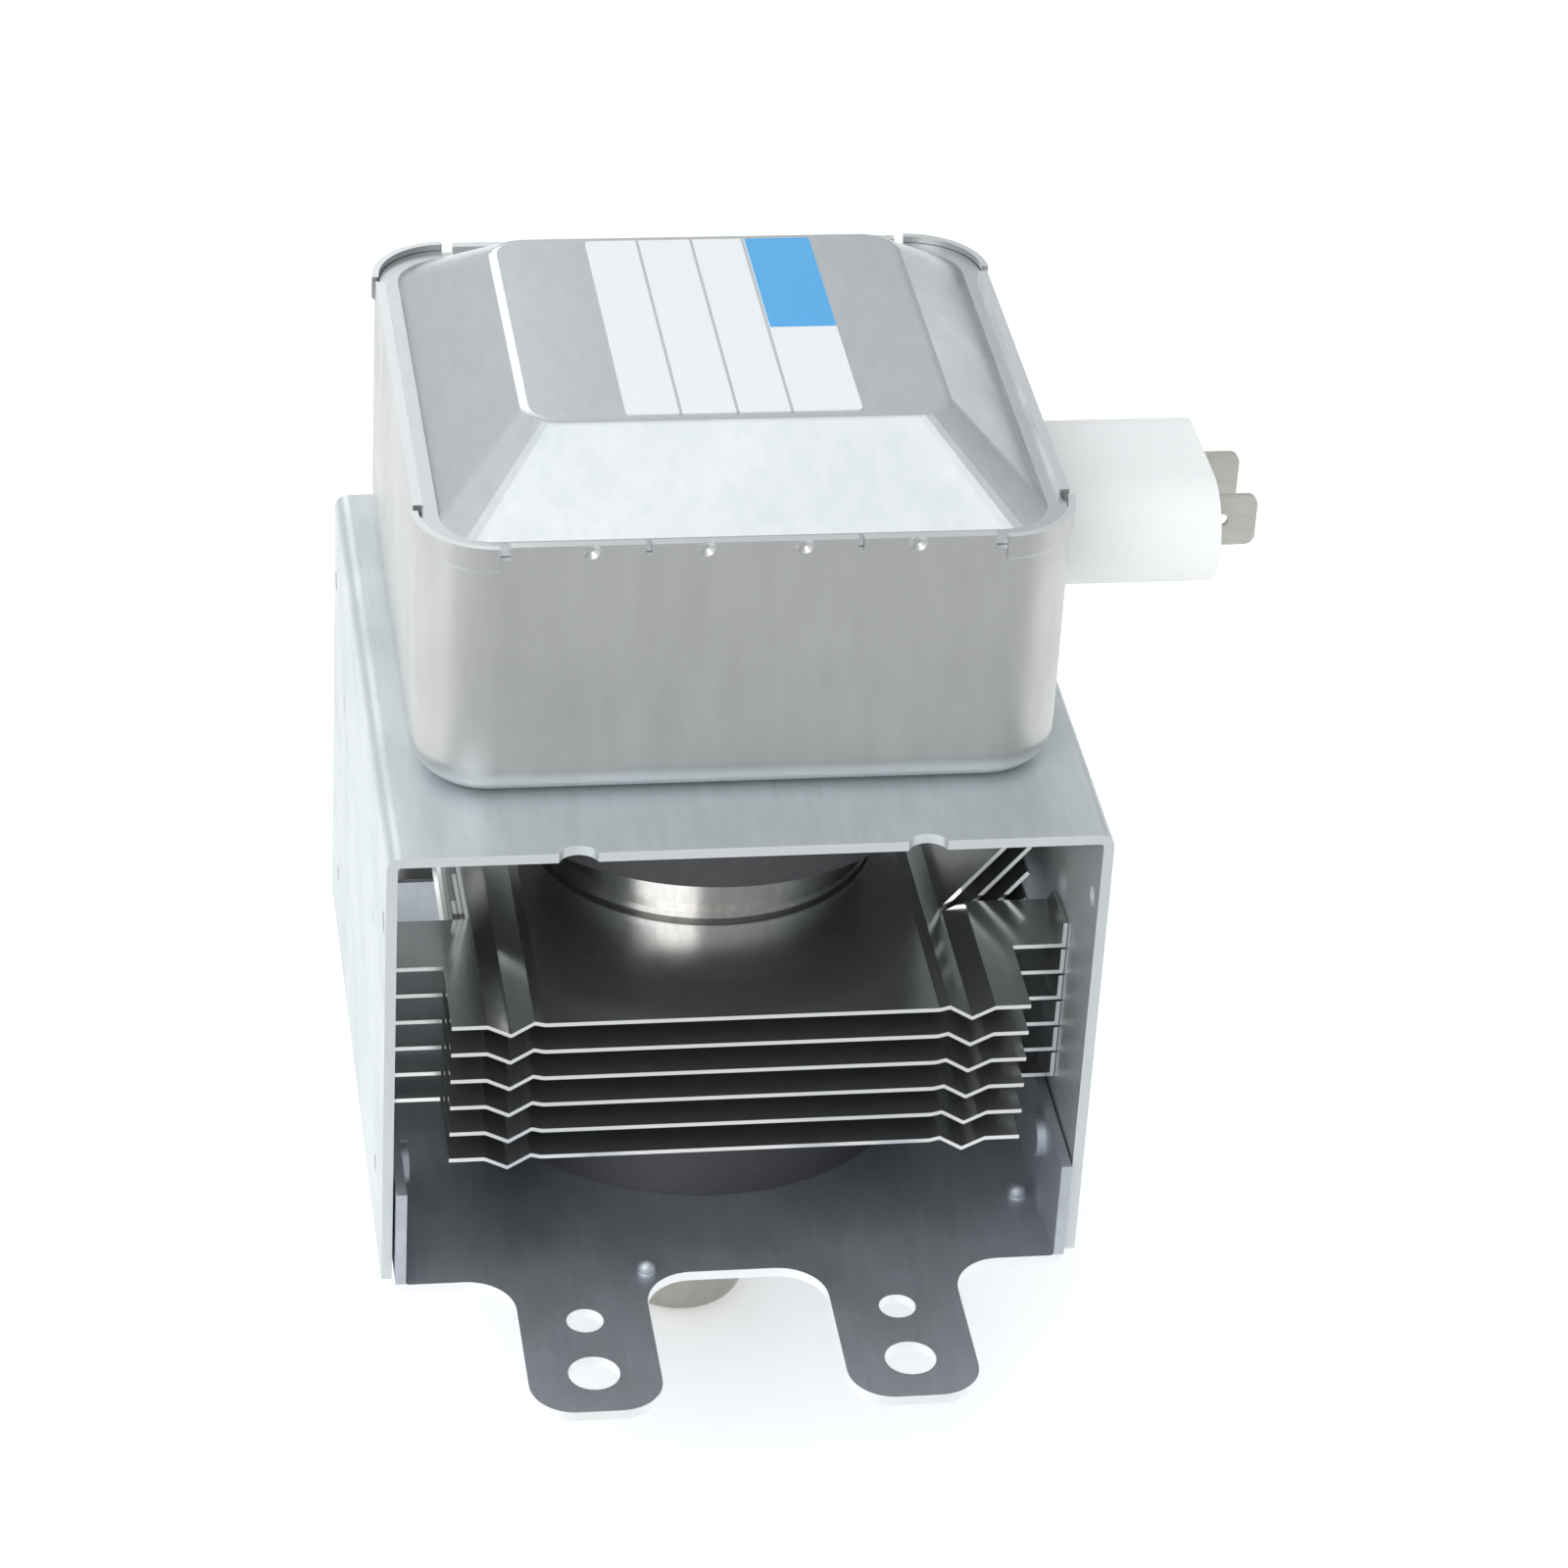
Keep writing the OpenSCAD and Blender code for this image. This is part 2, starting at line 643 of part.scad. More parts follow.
// Dimples above the fins' wings along one side wall
module dimple_places() {
    for (y = [-1, 1])
        translate([0, y * dimple_y, dimple_z]) children();
}

// Rivets between the top plate and the filter box
module rivet_places() {
    for (x = [-1, 1], y = [-1, 1])
        translate([x * rivet_spacing_x / 2, box_y + y * rivet_spacing_y / 2, 0]) children();
}

// Outline of one mounting tab, growing along +Y from the plate's edge
module tab_outline() {
    difference() {
        union() {
            translate([-tab_w / 2, -cut]) square([tab_w, cut + tab_reach - tab_corner_r]);
            translate([-tab_w / 2 + tab_corner_r, -cut])
                square([tab_w - 2 * tab_corner_r, cut + tab_reach]);
            for (x = [-1, 1]) {
                translate([x * (tab_w / 2 - tab_corner_r), tab_reach - tab_corner_r])
                    circle(tab_corner_r);
                difference() {
                    translate([x * (tab_w + tab_fillet_r) / 2, (tab_fillet_r - cut) / 2])
                        square([tab_fillet_r, tab_fillet_r + cut], center = true);
                    translate([x * (tab_w / 2 + tab_fillet_r), tab_fillet_r]) circle(tab_fillet_r);
                }
            }
        }
        translate([0, tab_reach - fixing_hole_edge]) circle(d = fixing_hole_d);
        translate([0, tab_reach - fixing_hole_edge - tab_hole_spacing]) circle(d = locating_hole_d);
    }
}

// Mounting plate with side flanges and four tabs
module lower_yoke() color(plate_steel) {
    difference() {
        union() {
            along_y(plate_d) folded_section(2 * flange_out_x, flange_h);
            for (turn = [0, 180], x = [-1, 1])
                rotate([0, 0, turn]) translate([x * tab_spacing / 2, plate_d / 2, 0])
                    linear_extrude(sheet_t) tab_outline();
            both_walls() clinch_places()
                rod_x(clinch_tip_x - clinch_fit - clinch_wall, flange_in_x + eps,
                    clinch_d + 2 * clinch_wall);
            locating_bosses();
        }
        translate([0, 0, -cut]) cylinder(h = sheet_t + 2 * cut, d = output_hole_d);
        both_walls() clinch_places()
            rod_x(clinch_tip_x - clinch_fit, flange_out_x + cut, clinch_d + 2 * clinch_fit);
    }
}

// Two small round bosses on the mounting plate, one by the right flange and one by the left tab
module locating_bosses() {
    edge_y = -plate_d / 2;
    tab_in_x = -(tab_spacing - tab_w) / 2;
    for (place = [[flange_in_x - boss_flange_gap, edge_y + boss_back],
            [tab_in_x + boss_tab_gap, edge_y + boss_tab_back]])
        translate([place[0], place[1], sheet_t - eps]) {
            cylinder(h = boss_h - boss_d / 2, d = boss_d);
            translate([0, 0, boss_h - boss_d / 2]) sphere(d = boss_d);
        }
}

// Drawn filter box with standing rim corners and crimped sides
module filter_box() color(box_steel) translate([0, box_y, 0]) {
    difference() {
        translate([0, 0, box_z])
            drawn_block(box_w, box_d, box_h - rim_h, box_corner_r, box_base_r);
        translate([0, 0, box_z + box_t])
            drawn_block(box_w - 2 * box_t, box_d - 2 * box_t, box_h,
                box_corner_r - box_t, box_base_r - box_t);
        translate([0, -box_y, box_z - cut]) cylinder(h = box_t + 2 * cut, d = stem_hole_d);
        translate([0, -box_y, box_z - cut]) rivet_places()
            cylinder(h = box_t + 2 * cut, d = rivet_d + 2 * rivet_fit);
        connector_place(wall_x - box_t - cut)
            along_x(box_t + 2 * cut) racetrack(housing_l + 2 * housing_fit, housing_h + 2 * housing_fit);
        ground_rivet_places() rod_x(wall_x - box_t - cut, wall_x + cut, ground_rivet_d + 2 * rivet_fit);
    }
    difference() {
        rim_sides();
        crimp_marks();
    }
    rim_corners();
}

// Connector's axis at a station on X, seen from the box's centre
module connector_place(x) {
    translate([x, connector_y - box_y, connector_abs_z]) children();
}

// Rivets of the ground plate, seen from the box's centre
module ground_rivet_places() {
    for (y = [-1, 1])
        connector_place(0) translate([0, y * ground_rivet_y, 0]) children();
}

// Straight stretches of the rim, each crimped over the lid's flange
module rim_sides() {
    for (side = [[box_w, box_d, 0], [box_w, box_d, 180], [box_d, box_w, 90], [box_d, box_w, 270]]) {
        length = side[1] - 2 * box_corner_r;
        crimp_l = length - 2 * rim_slit;
        rotate([0, 0, side[2]]) translate([side[0] / 2 - box_t, 0, 0]) {
            translate([0, -length / 2, rim_base_z - eps]) cube([box_t, length, rim_h - rim_slit_h + eps]);
            translate([0, -crimp_l / 2, rim_base_z - eps]) cube([box_t, crimp_l, rim_h + eps]);
            translate([box_t - crimp_w, -crimp_l / 2, rim_z - box_t]) cube([crimp_w, crimp_l, box_t]);
        }
    }
}

// Corner stretches of the rim, which stand a little outside the walls and carry the lid on a slope
module rim_corners() {
    out_r = box_corner_r;
    in_r = box_corner_r - box_t;
    ledge_h = lid_ledge_z - rim_base_z;
    for (x = [-1, 1], y = [-1, 1])
        translate([x * (box_w / 2 - box_corner_r), y * (box_d / 2 - box_corner_r), rim_base_z])
            rotate([0, 0, x > 0 ? (y > 0 ? 0 : -90) : (y > 0 ? 90 : 180)])
                rotate_extrude(angle = 90) polygon([
                    [in_r, -eps], [out_r, -eps], [out_r + rim_out, rim_out], [out_r + rim_out, rim_h],
                    [in_r + rim_out, rim_h], [in_r + rim_out, ledge_h], [in_r, 0]]);
}

// Nicks and dents that the crimping tool leaves in the front and back edges
module crimp_marks() {
    for (turn = [0, 180], x = [-1, 1])
        rotate([0, 0, turn]) translate([x * nick_spacing / 2, box_d / 2, rim_z]) {
            cube([nick_w, 4 * box_t, 2 * nick_h], center = true);
            for (side = [-1, 1])
                translate([side * dent_gap, eps, -dent_d / 3]) rotate([90, 0, 0])
                    cylinder(h = dent_h, d1 = dent_d, d2 = dent_d / 3);
        }
}

// Lid with a flat flange and a raised plateau with sloping sides
module filter_lid() color(box_steel) translate([0, box_y, 0]) {
    difference() {
        union() {
            translate([0, 0, lid_flange_z]) linear_extrude(lid_t) lid_outline();
            lid_hump(0);
        }
        lid_hump(lid_t);
    }
}

// Outline of the lid, with corners that rest on the slopes in the box's rim
module lid_outline() {
    rounded_rect(lid_w, lid_d, lid_corner_r);
    for (x = [-1, 1], y = [-1, 1])
        translate([x * (lid_w / 2 - lid_corner_r), y * (lid_d / 2 - lid_corner_r)]) intersection() {
            circle(lid_corner_r + rim_out);
            translate([x * box_corner_r, y * box_corner_r]) square(2 * box_corner_r, center = true);
        }
}

// Solid under the lid's surface, or that solid drawn in by the sheet's thickness
module lid_hump(inset) {
    foot_w = lid_w - 2 * lid_flange_w - 2 * inset;
    foot_d = lid_d - 2 * lid_flange_w - 2 * inset;
    foot_r = lid_corner_r - lid_flange_w - inset;
    foot_z = lid_flange_z - (inset > 0 ? cut : 0);
    top_r = plateau_corner_r - inset / 2;
    bend_r = shoulder_r - inset / 2;
    hull() for (x = [-1, 1], y = [-1, 1]) {
        translate([x * (foot_w / 2 - foot_r), y * (foot_d / 2 - foot_r), foot_z])
            cylinder(h = lid_flange_z + lid_t - inset - foot_z, r = foot_r, $fn = facet_fn);
        translate([x * (plateau_w / 2 - plateau_corner_r), y * (plateau_d / 2 - plateau_corner_r),
                plateau_z - inset - bend_r])
            rotate_extrude($fn = facet_fn) intersection() {
                union() {
                    square([top_r - bend_r, bend_r]);
                    translate([top_r - bend_r, 0]) circle(bend_r, $fn = facet_fn);
                }
                square([top_r, bend_r]);
            }
    }
}

// Paper label on the plateau
module rating_label() color("#f4f6f7") {
    translate([label_x, box_y, plateau_z])
        linear_extrude(label_t) rounded_rect(label_w, label_l, label_corner_r);
}

// Rivets that hold the filter box on the top plate
module box_rivets() color(steel) {
    rivet_places() {
        translate([0, 0, top_under_z]) cylinder(h = sheet_t + box_t, d = rivet_d);
        translate([0, 0, top_under_z - rivet_head_h]) cylinder(h = rivet_head_h, d = rivet_head_d);
        translate([0, 0, box_z + box_t]) cylinder(h = rivet_head_h, d = rivet_head_d);
    }
}

// White insulating housing of the feed-through capacitor
module connector_housing() color("#f3f4f4") translate([0, box_y, 0]) {
    difference() {
        connector_place(wall_x - box_t)
            along_x(box_t + housing_reach) racetrack(housing_l, housing_h);
        connector_place(housing_floor_x)
            along_x(housing_recess + cut)
                racetrack(housing_l - 2 * housing_wall, housing_h - 2 * housing_wall);
        for (y = [-1, 1])
            connector_place(0) translate([0, y * terminal_spacing / 2, 0])
                rod_x(wall_x - box_t - cut, housing_end_x, rod_d + 2 * rod_fit);
    }
}

// Push-on tab with its rod through the capacitor, at one side of the connector's centre
module terminal(side) color("#a9aaa2") {
    tab_l = terminal_tip_x - housing_floor_x;
    translate([0, connector_y + side * terminal_spacing / 2, connector_abs_z]) {
        difference() {
            translate([housing_floor_x + tab_l / 2, 0, 0]) rotate([90, 0, 0])
                linear_extrude(terminal_t, center = true) tab_blade(tab_l);
            translate([terminal_tip_x - latch_hole_edge, 0, 0]) rotate([90, 0, 0])
                cylinder(h = terminal_t + 2 * cut, d = latch_hole_d, center = true);
        }
        rod_x(rod_end_x, housing_floor_x + eps, rod_d);
    }
}

// Outline of a push-on tab with rounded free corners
module tab_blade(l) {
    r = terminal_corner_r;
    translate([-l / 2, -terminal_w / 2]) square([l - r, terminal_w]);
    translate([-l / 2, -terminal_w / 2 + r]) square([l, terminal_w - 2 * r]);
    for (y = [-1, 1])
        translate([l / 2 - r, y * (terminal_w / 2 - r)]) circle(r);
}

module terminal_front() terminal(-1);

module terminal_rear() terminal(1);

// Potted capacitor behind the ground plate
module capacitor_block() color("#d8d2c4") translate([0, box_y, 0]) {
    difference() {
        connector_place(capacitor_x) along_x(capacitor_l)
            racetrack(housing_l - 2 * capacitor_inset, housing_h - 2 * capacitor_inset);
        for (y = [-1, 1])
            connector_place(0) translate([0, y * terminal_spacing / 2, 0])
                rod_x(capacitor_x - cut, ground_x + cut, rod_d + 2 * rod_fit);
    }
}

// Ground plate against the inside of the box's wall
module ground_plate() color(steel) translate([0, box_y, 0]) {
    difference() {
        connector_place(ground_x)
            along_x(ground_plate_t) racetrack(2 * ground_rivet_y + ground_rivet_head_d + 2 * ground_margin,
                housing_h + 2 * ground_margin);
        for (y = [-1, 1])
            connector_place(0) translate([0, y * terminal_spacing / 2, 0])
                rod_x(ground_x - cut, ground_x + ground_plate_t + cut, ground_hole_d);
        ground_rivet_places()
            rod_x(ground_x - cut, ground_x + ground_plate_t + cut, ground_rivet_d + 2 * rivet_fit);
    }
}

// Two rivets that hold the ground plate on the box's wall
module ground_rivets() color(steel) translate([0, box_y, 0]) {
    ground_rivet_places() {
        rod_x(ground_x, wall_x, ground_rivet_d);
        rod_x(ground_x - rivet_head_h, ground_x, ground_rivet_head_d);
        rod_x(wall_x, wall_x + rivet_head_h, ground_rivet_head_d);
    }
}

// Share of a coil's turns wound by a share of its length, slow at both ends
function winding_share(s) =
    let (ramp = winding_ramp)
    (s < ramp ? s * s / (2 * ramp)
        : s > 1 - ramp ? 1 - ramp - (1 - s) * (1 - s) / (2 * ramp)
        : s - ramp / 2) / (1 - ramp);

// Choke coil from a terminal's rod to a stem terminal at a given distance behind the axis
module choke_coil(side, pin_y) color(copper) {
    y = connector_y + side * terminal_spacing / 2;
    steps = choke_turns * 13;
    turn = [for (i = [0 : steps]) 360 * choke_turns * winding_share(i / steps)];
    coil = [for (i = [0 : steps])
        [choke_start_x - choke_l * i / steps,
            y + choke_r * sin(turn[i]), choke_z + choke_r * cos(turn[i])]];
    coil_sides = [for (a = turn) [0, sin(a), cos(a)]];
    coil_end = coil[steps];
    to_pin = unit([0 - coil_end[0], pin_y - coil_end[1], 0]);
    pin_point = [0, pin_y, coil_end[2]] - (pin_d / 2 + touch_gap) * to_pin;
    elbow = coil_end - [choke_lead_l, 0, 0];
    path = concat([[rod_end_x - touch_gap, y, connector_abs_z]], coil, [elbow, pin_point]);
    up = [0, 0, 1];
    wire(path, concat([up], coil_sides, [up, up]), choke_wire_d);
}

module choke_coil_front() choke_coil(-1, 0);

module choke_coil_rear() choke_coil(1, side_lead_high);

// Ferrite rod inside a choke coil
module choke_core(side) color(ferrite) {
    translate([0, connector_y + side * terminal_spacing / 2, choke_z])
        rod_x(choke_end_x + choke_wire_d / 2, choke_start_x - choke_wire_d / 2, choke_core_d);
}

module choke_core_front() choke_core(-1);

module choke_core_rear() choke_core(1);

// Ring magnet resting at a given height
module ring_magnet(z) color(ferrite) {
    translate([0, 0, z]) difference() {
        cylinder(h = magnet_h, d = magnet_d);
        translate([0, 0, -cut]) cylinder(h = magnet_h + 2 * cut, d = magnet_bore_d);
    }
}

module upper_magnet() ring_magnet(magnet_high_z);

module lower_magnet() ring_magnet(magnet_low_z);

// Underside of a fin from left wing to right wing, in X and Z
function fin_line() = [
    [-wing_x, 0], [-fold_x, 0], [-groove_x, -groove_depth], [-crest_x, crest_h],
    [crest_w - crest_x, 0], [crest_x - crest_w, 0],
    [crest_x, crest_h], [groove_x, -groove_depth], [fold_x, 0], [wing_x, 0]];

// Fin sheet with its grooves, before it is cut
module fin_sheet() {
    under = fin_line();
    over = [for (i = [len(under) - 1 : -1 : 0]) under[i] + [0, fin_t]];
    along_y(fin_d) polygon(concat(under, over));
}

// Turned-up lip at the end of a wing, lower towards the flap
module wing_lip() {
    translate([wing_x - fin_t, 0, 0]) along_x(fin_t)
        polygon([[wing_in_y, 0], [wing_y, 0], [wing_y, wing_lip_h],
            [wing_in_y + wing_lip_run, wing_lip_h], [wing_in_y, fin_t]]);
}

// Flap folded up at a given place in X and Z, with a given height and angle
module flap(x, z, h, angle) {
    translate([x, 0, z]) rotate([0, -angle, 0])
        translate([0, -flap_l / 2, 0]) cube([h, flap_l, fin_t]);
}

// Opening that a flap leaves in a fin from a given distance on X to the wing's end
module flap_window(x) {
    translate([(x + wing_x) / 2, 0, 0])
        cube([wing_x - x, 2 * wing_in_y, 4 * groove_depth], center = true);
}

// One cooling fin, counted from the lowest
module fin(i) color(aluminium) translate([0, 0, fin_z + i * fin_pitch]) {
    hole_r = anode_r + fin_fit;
    difference() {
        union() {
            difference() {
                fin_sheet();
                flap_window(groove_x);
                mirror([1, 0, 0]) flap_window(flap_left_x);
                for (x = [-1, 1], y = [-1, 1])
                    translate([x * (fin_w / 2 + wing_x), y * (wing_y + fin_d), 0])
                        cube([2 * wing_x, 2 * fin_d, 4 * groove_depth], center = true);
            }
            for (x = [0, 1], y = [0, 1])
                mirror([x, 0, 0]) mirror([0, y, 0]) wing_lip();
            flap(groove_x, -groove_depth, flap_h_right, flap_angle_right);
            mirror([1, 0, 0]) flap(flap_left_x, 0, flap_h_left, flap_angle_left);
            translate([0, 0, -collar_h]) cylinder(h = collar_h + fin_t, r = hole_r + fin_t);
        }
        translate([0, 0, -collar_h - cut]) cylinder(h = collar_h + fin_t + 2 * cut, r = hole_r);
    }
}

// Anode cylinder with a raised bead above the fins
module anode_cylinder() color(copper) {
    difference() {
        union() {
            translate([0, 0, anode_z]) cylinder(h = anode_h, r = anode_r);
            translate([0, 0, bead_z]) cylinder(h = bead_h, r = anode_r + bead_out);
        }
        translate([0, 0, anode_z - cut]) cylinder(h = anode_h + 2 * cut, r = anode_in_r);
    }
}

// Ring-shaped cut between two radii and two heights
module ring_cut(r, w, z, h) {
    translate([0, 0, z]) difference() {
        cylinder(h = h, r = r + w);
        translate([0, 0, -cut]) cylinder(h = h + 2 * cut, r = r);
    }
}

// Radial vanes, notched for the strap rings: every second vane meets the inner rings, the
// others the outer rings
module anode_vanes() color(copper) {
    for (i = [0 : vane_n - 1])
        difference() {
            rotate([0, 0, 360 * i / vane_n]) translate([vane_tip_r, -vane_t / 2, vane_low_z])
                cube([vane_out_x - vane_tip_r, vane_t, vane_h]);
            for (ring = [0, 1]) {
                depth = strap_h + (i % 2 == ring ? 0 : 2 * strap_clear);
                r = (ring == 0 ? strap_r : strap_out_r) - strap_clear;
                w = strap_w + 2 * strap_clear;
                ring_cut(r, w, vane_high_z - depth, depth + cut);
                ring_cut(r, w, vane_low_z - cut, depth + cut);
            }
        }
}

// Four strap rings in the vanes' notches
module strap_rings() color(copper) {
    for (z = [vane_low_z, vane_high_z - strap_h], r = [strap_r, strap_out_r])
        ring_cut(r, strap_w, z, strap_h);
}

// Dished pole piece: flat on an anode end at z = 0, with the dish going down
module pole_piece() {
    rotate_extrude() polygon([
        [pole_hole_d / 2, -pole_dish], [dish_flat_d / 2, -pole_dish], [dish_d / 2, 0], [anode_r, 0],
        [anode_r, pole_t], [dish_d / 2 - pole_t / 2, pole_t],
        [dish_flat_d / 2 - pole_t / 2, pole_t - pole_dish], [pole_hole_d / 2, pole_t - pole_dish]]);
}

module upper_pole_piece() color(steel) translate([0, 0, pole_high_z]) pole_piece();

module lower_pole_piece() color(steel) difference() {
    translate([0, 0, anode_z]) mirror([0, 0, 1]) pole_piece();
    translate([antenna_lead_r - antenna_hole_shift, 0, pole_low_z - cut])
        cylinder(h = pole_dish + 2 * cut, d = antenna_hole_d);
}

// Filament helix between the end hats
module filament() color("#8d8f92") {
    steps = filament_turns * 12;
    low = vane_low_z + filament_wire_d / 2 + touch_gap;
    rise = vane_h - filament_wire_d - 2 * touch_gap;
    turn = [for (i = [0 : steps]) 360 * filament_turns * i / steps];
    path = [for (i = [0 : steps])
        [filament_r * cos(turn[i]), filament_r * sin(turn[i]), low + rise * i / steps]];
    wire(path, [for (a = turn) [cos(a), sin(a), 0]], filament_wire_d);
}

// End hat with a hole at the axis
module end_hat(z, hole_d) color("#7f8286") {
    translate([0, 0, z]) difference() {
        cylinder(h = hat_h, d = hat_d);
        translate([0, 0, -cut]) cylinder(h = hat_h + 2 * cut, d = hole_d);
    }
}

module upper_end_hat() end_hat(vane_high_z, 2 * lead_d);

module lower_end_hat() end_hat(hat_low_z, lead_d + 2 * lead_fit);

// Straight cathode lead from the lower end hat to the top of its stem terminal
module centre_lead() color("#8d8f92") {
    translate([0, 0, hat_low_z]) cylinder(h = pin_z + pin_h - hat_low_z, d = lead_d);
}

// Cathode lead from the upper end hat, bent outwards to its place in the stem
module side_lead() color("#8d8f92") {
    low_z = vane_high_z + hat_h;
    bend_z = [pole_high_z, top_under_z];
    steps = 8;
    bend = [for (i = [0 : steps])
        [0, side_lead_low + (side_lead_high - side_lead_low) * (1 - cos(180 * i / steps)) / 2,
            bend_z[0] + (bend_z[1] - bend_z[0]) * i / steps]];
    path = concat([[0, side_lead_low, low_z]], bend, [[0, side_lead_high, pin_z + pin_h]]);
    wire(path, [for (p = path) [1, 0, 0]], lead_d);
}

// Sealing cup on the cathode side, from the upper pole piece into the filter box
module cathode_seal() color(steel) {
    rotate_extrude() polygon([
        [seal_r - seal_t, magnet_high_z], [seal_lip_r, magnet_high_z],
        [seal_lip_r, magnet_high_z + seal_t], [seal_r, magnet_high_z + seal_t],
        [seal_r, stem_z], [stem_d / 2 - seal_ledge, stem_z], [stem_d / 2 - seal_ledge, stem_z - seal_t],
        [seal_r - seal_t, stem_z - seal_t]]);
}

// Places its children at the two cathode leads in the stem
module lead_places() {
    for (y = [0, side_lead_high])
        translate([0, y, 0]) children();
}

// Ceramic insulator of the cathode stem
module stem_ceramic() color("#d9cfd6") difference() {
    translate([0, 0, stem_z]) cylinder(h = stem_h, d = stem_d);
    lead_places() translate([0, 0, stem_z - cut])
        cylinder(h = stem_h + 2 * cut, d = lead_d + 2 * lead_fit);
}

// Tubular terminals round the leads on top of the stem
module stem_terminals() color(steel) lead_places() translate([0, 0, pin_z]) difference() {
    cylinder(h = pin_h, d = pin_d);
    translate([0, 0, -cut]) cylinder(h = pin_h + 2 * cut, d = lead_d + 2 * lead_fit);
}

// Sealing cup on the output side, from the lower pole piece through the mounting plate
module antenna_seal() color(steel) {
    rotate_extrude() polygon([
        [seal_r - seal_t, pole_low_z], [seal_lip_r, pole_low_z],
        [seal_lip_r, pole_low_z - seal_t], [seal_r, pole_low_z - seal_t],
        [seal_r, -output_seal_drop], [output_ceramic_in_r, -output_seal_drop],
        [output_ceramic_in_r, seal_t - output_seal_drop], [seal_r - seal_t, seal_t - output_seal_drop]]);
}

// Copper lead from a vane through the lower pole piece to the exhaust tube
module antenna_lead() color(copper) {
    bend_z = [anode_z + pole_dish - antenna_lead_d, sheet_t];
    steps = 10;
    bend = [for (i = [0 : steps])
        [antenna_lead_r * (1 + cos(180 * i / steps)) / 2, 0,
            bend_z[0] + (bend_z[1] - bend_z[0]) * i / steps]];
    path = concat([[antenna_lead_r, 0, vane_low_z - touch_gap]], bend,
        [[0, 0, cap_z - exhaust_l + exhaust_plug_l + touch_gap]]);
    wire(path, [for (p = path) [0, 1, 0]], antenna_lead_d);
}

// Ceramic tube of the output stem
module antenna_ceramic() color(ceramic) translate([0, 0, output_ceramic_z]) difference() {
    cylinder(h = output_ceramic_h, r = output_ceramic_r);
    translate([0, 0, -cut]) cylinder(h = output_ceramic_h + 2 * cut, r = output_ceramic_in_r);
}

// Exhaust tube with its flange under the ceramic and a pinched end
module exhaust_tube() color(copper) {
    pinch_h = exhaust_plug_l;
    difference() {
        union() {
            translate([0, 0, cap_z]) cylinder(h = exhaust_flange_t, r = output_ceramic_r);
            translate([0, 0, cap_z - exhaust_l]) cylinder(h = exhaust_l + eps, d = exhaust_d);
        }
        translate([0, 0, cap_z - exhaust_l + exhaust_plug_l])
            cylinder(h = exhaust_l + exhaust_flange_t, d = antenna_lead_d + 2 * lead_fit);
        for (x = [-1, 1])
            translate([x * pinch_t / 2, 0, cap_z - exhaust_l]) rotate([0, x * pinch_angle, 0])
                translate([x * exhaust_d / 2, 0, 0])
                    cube([exhaust_d, 2 * exhaust_d, 2 * pinch_h], center = true);
    }
}

// Drawn cap over the exhaust tube, the part that radiates
module antenna_cap() color("#bbb6ac") {
    r = cap_d / 2;
    translate([0, 0, cap_z]) mirror([0, 0, 1]) difference() {
        cap_solid(r, cap_l, cap_end_r);
        translate([0, 0, -cut]) cap_solid(r - cap_t, cap_l + cut - cap_t, cap_end_r - cap_t);
    }
}

// Solid cylinder with one rounded end
module cap_solid(r, l, end_r) {
    rotate_extrude() intersection() {
        translate([0, l]) mirror([0, 1]) rounded_foot(2 * r, l, end_r);
        square([r, l]);
    }
}

// Stamped ring under the mounting plate that carries the mesh gasket
module gasket_ring() color(steel) {
    rotate_extrude() polygon([
        [gasket_in_r, 0], [gasket_d / 2, 0], [gasket_d / 2, -gasket_ring_t],
        [gasket_in_r + gasket_ring_t, -gasket_ring_t], [gasket_in_r + gasket_ring_t, -gasket_h],
        [gasket_in_r, -gasket_h]]);
}

// Ring of knitted wire mesh round the gasket ring's collar
module mesh_gasket() color("#9b9c9a") {
    in_r = gasket_in_r + gasket_ring_t + touch_gap;
    w = gasket_d / 2 - in_r;
    translate([0, 0, -gasket_ring_t - touch_gap - gasket_h / 2]) rotate_extrude()
        translate([in_r + w / 2, 0]) rounded_rect(w, gasket_h, gasket_edge_r);
}

upper_yoke();
lower_yoke();
filter_box();
filter_lid();
rating_label();
box_rivets();
connector_housing();
terminal_front();
terminal_rear();
capacitor_block();
ground_plate();
ground_rivets();
choke_coil_front();
choke_coil_rear();
choke_core_front();
choke_core_rear();
upper_magnet();
lower_magnet();
fin(0);  // fin_1
fin(1);  // fin_2
fin(2);  // fin_3
fin(3);  // fin_4
fin(4);  // fin_5
fin(5);  // fin_6
anode_cylinder();
anode_vanes();
strap_rings();
upper_pole_piece();
lower_pole_piece();
filament();
upper_end_hat();
lower_end_hat();
centre_lead();
side_lead();
cathode_seal();
stem_ceramic();
stem_terminals();
antenna_seal();
antenna_lead();
antenna_ceramic();
exhaust_tube();
antenna_cap();
gasket_ring();
mesh_gasket();
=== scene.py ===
# %% [markdown]
# # A microwave-oven magnetron
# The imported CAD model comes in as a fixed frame: every sheet, magnet and fin is already at its real
# size and place. This lesson gives it a camera, the finishes of the real materials and a studio, and
# adds the one thing that is too fine for the solids, the knitted wire of the gasket.

# %% Load the frame
import math

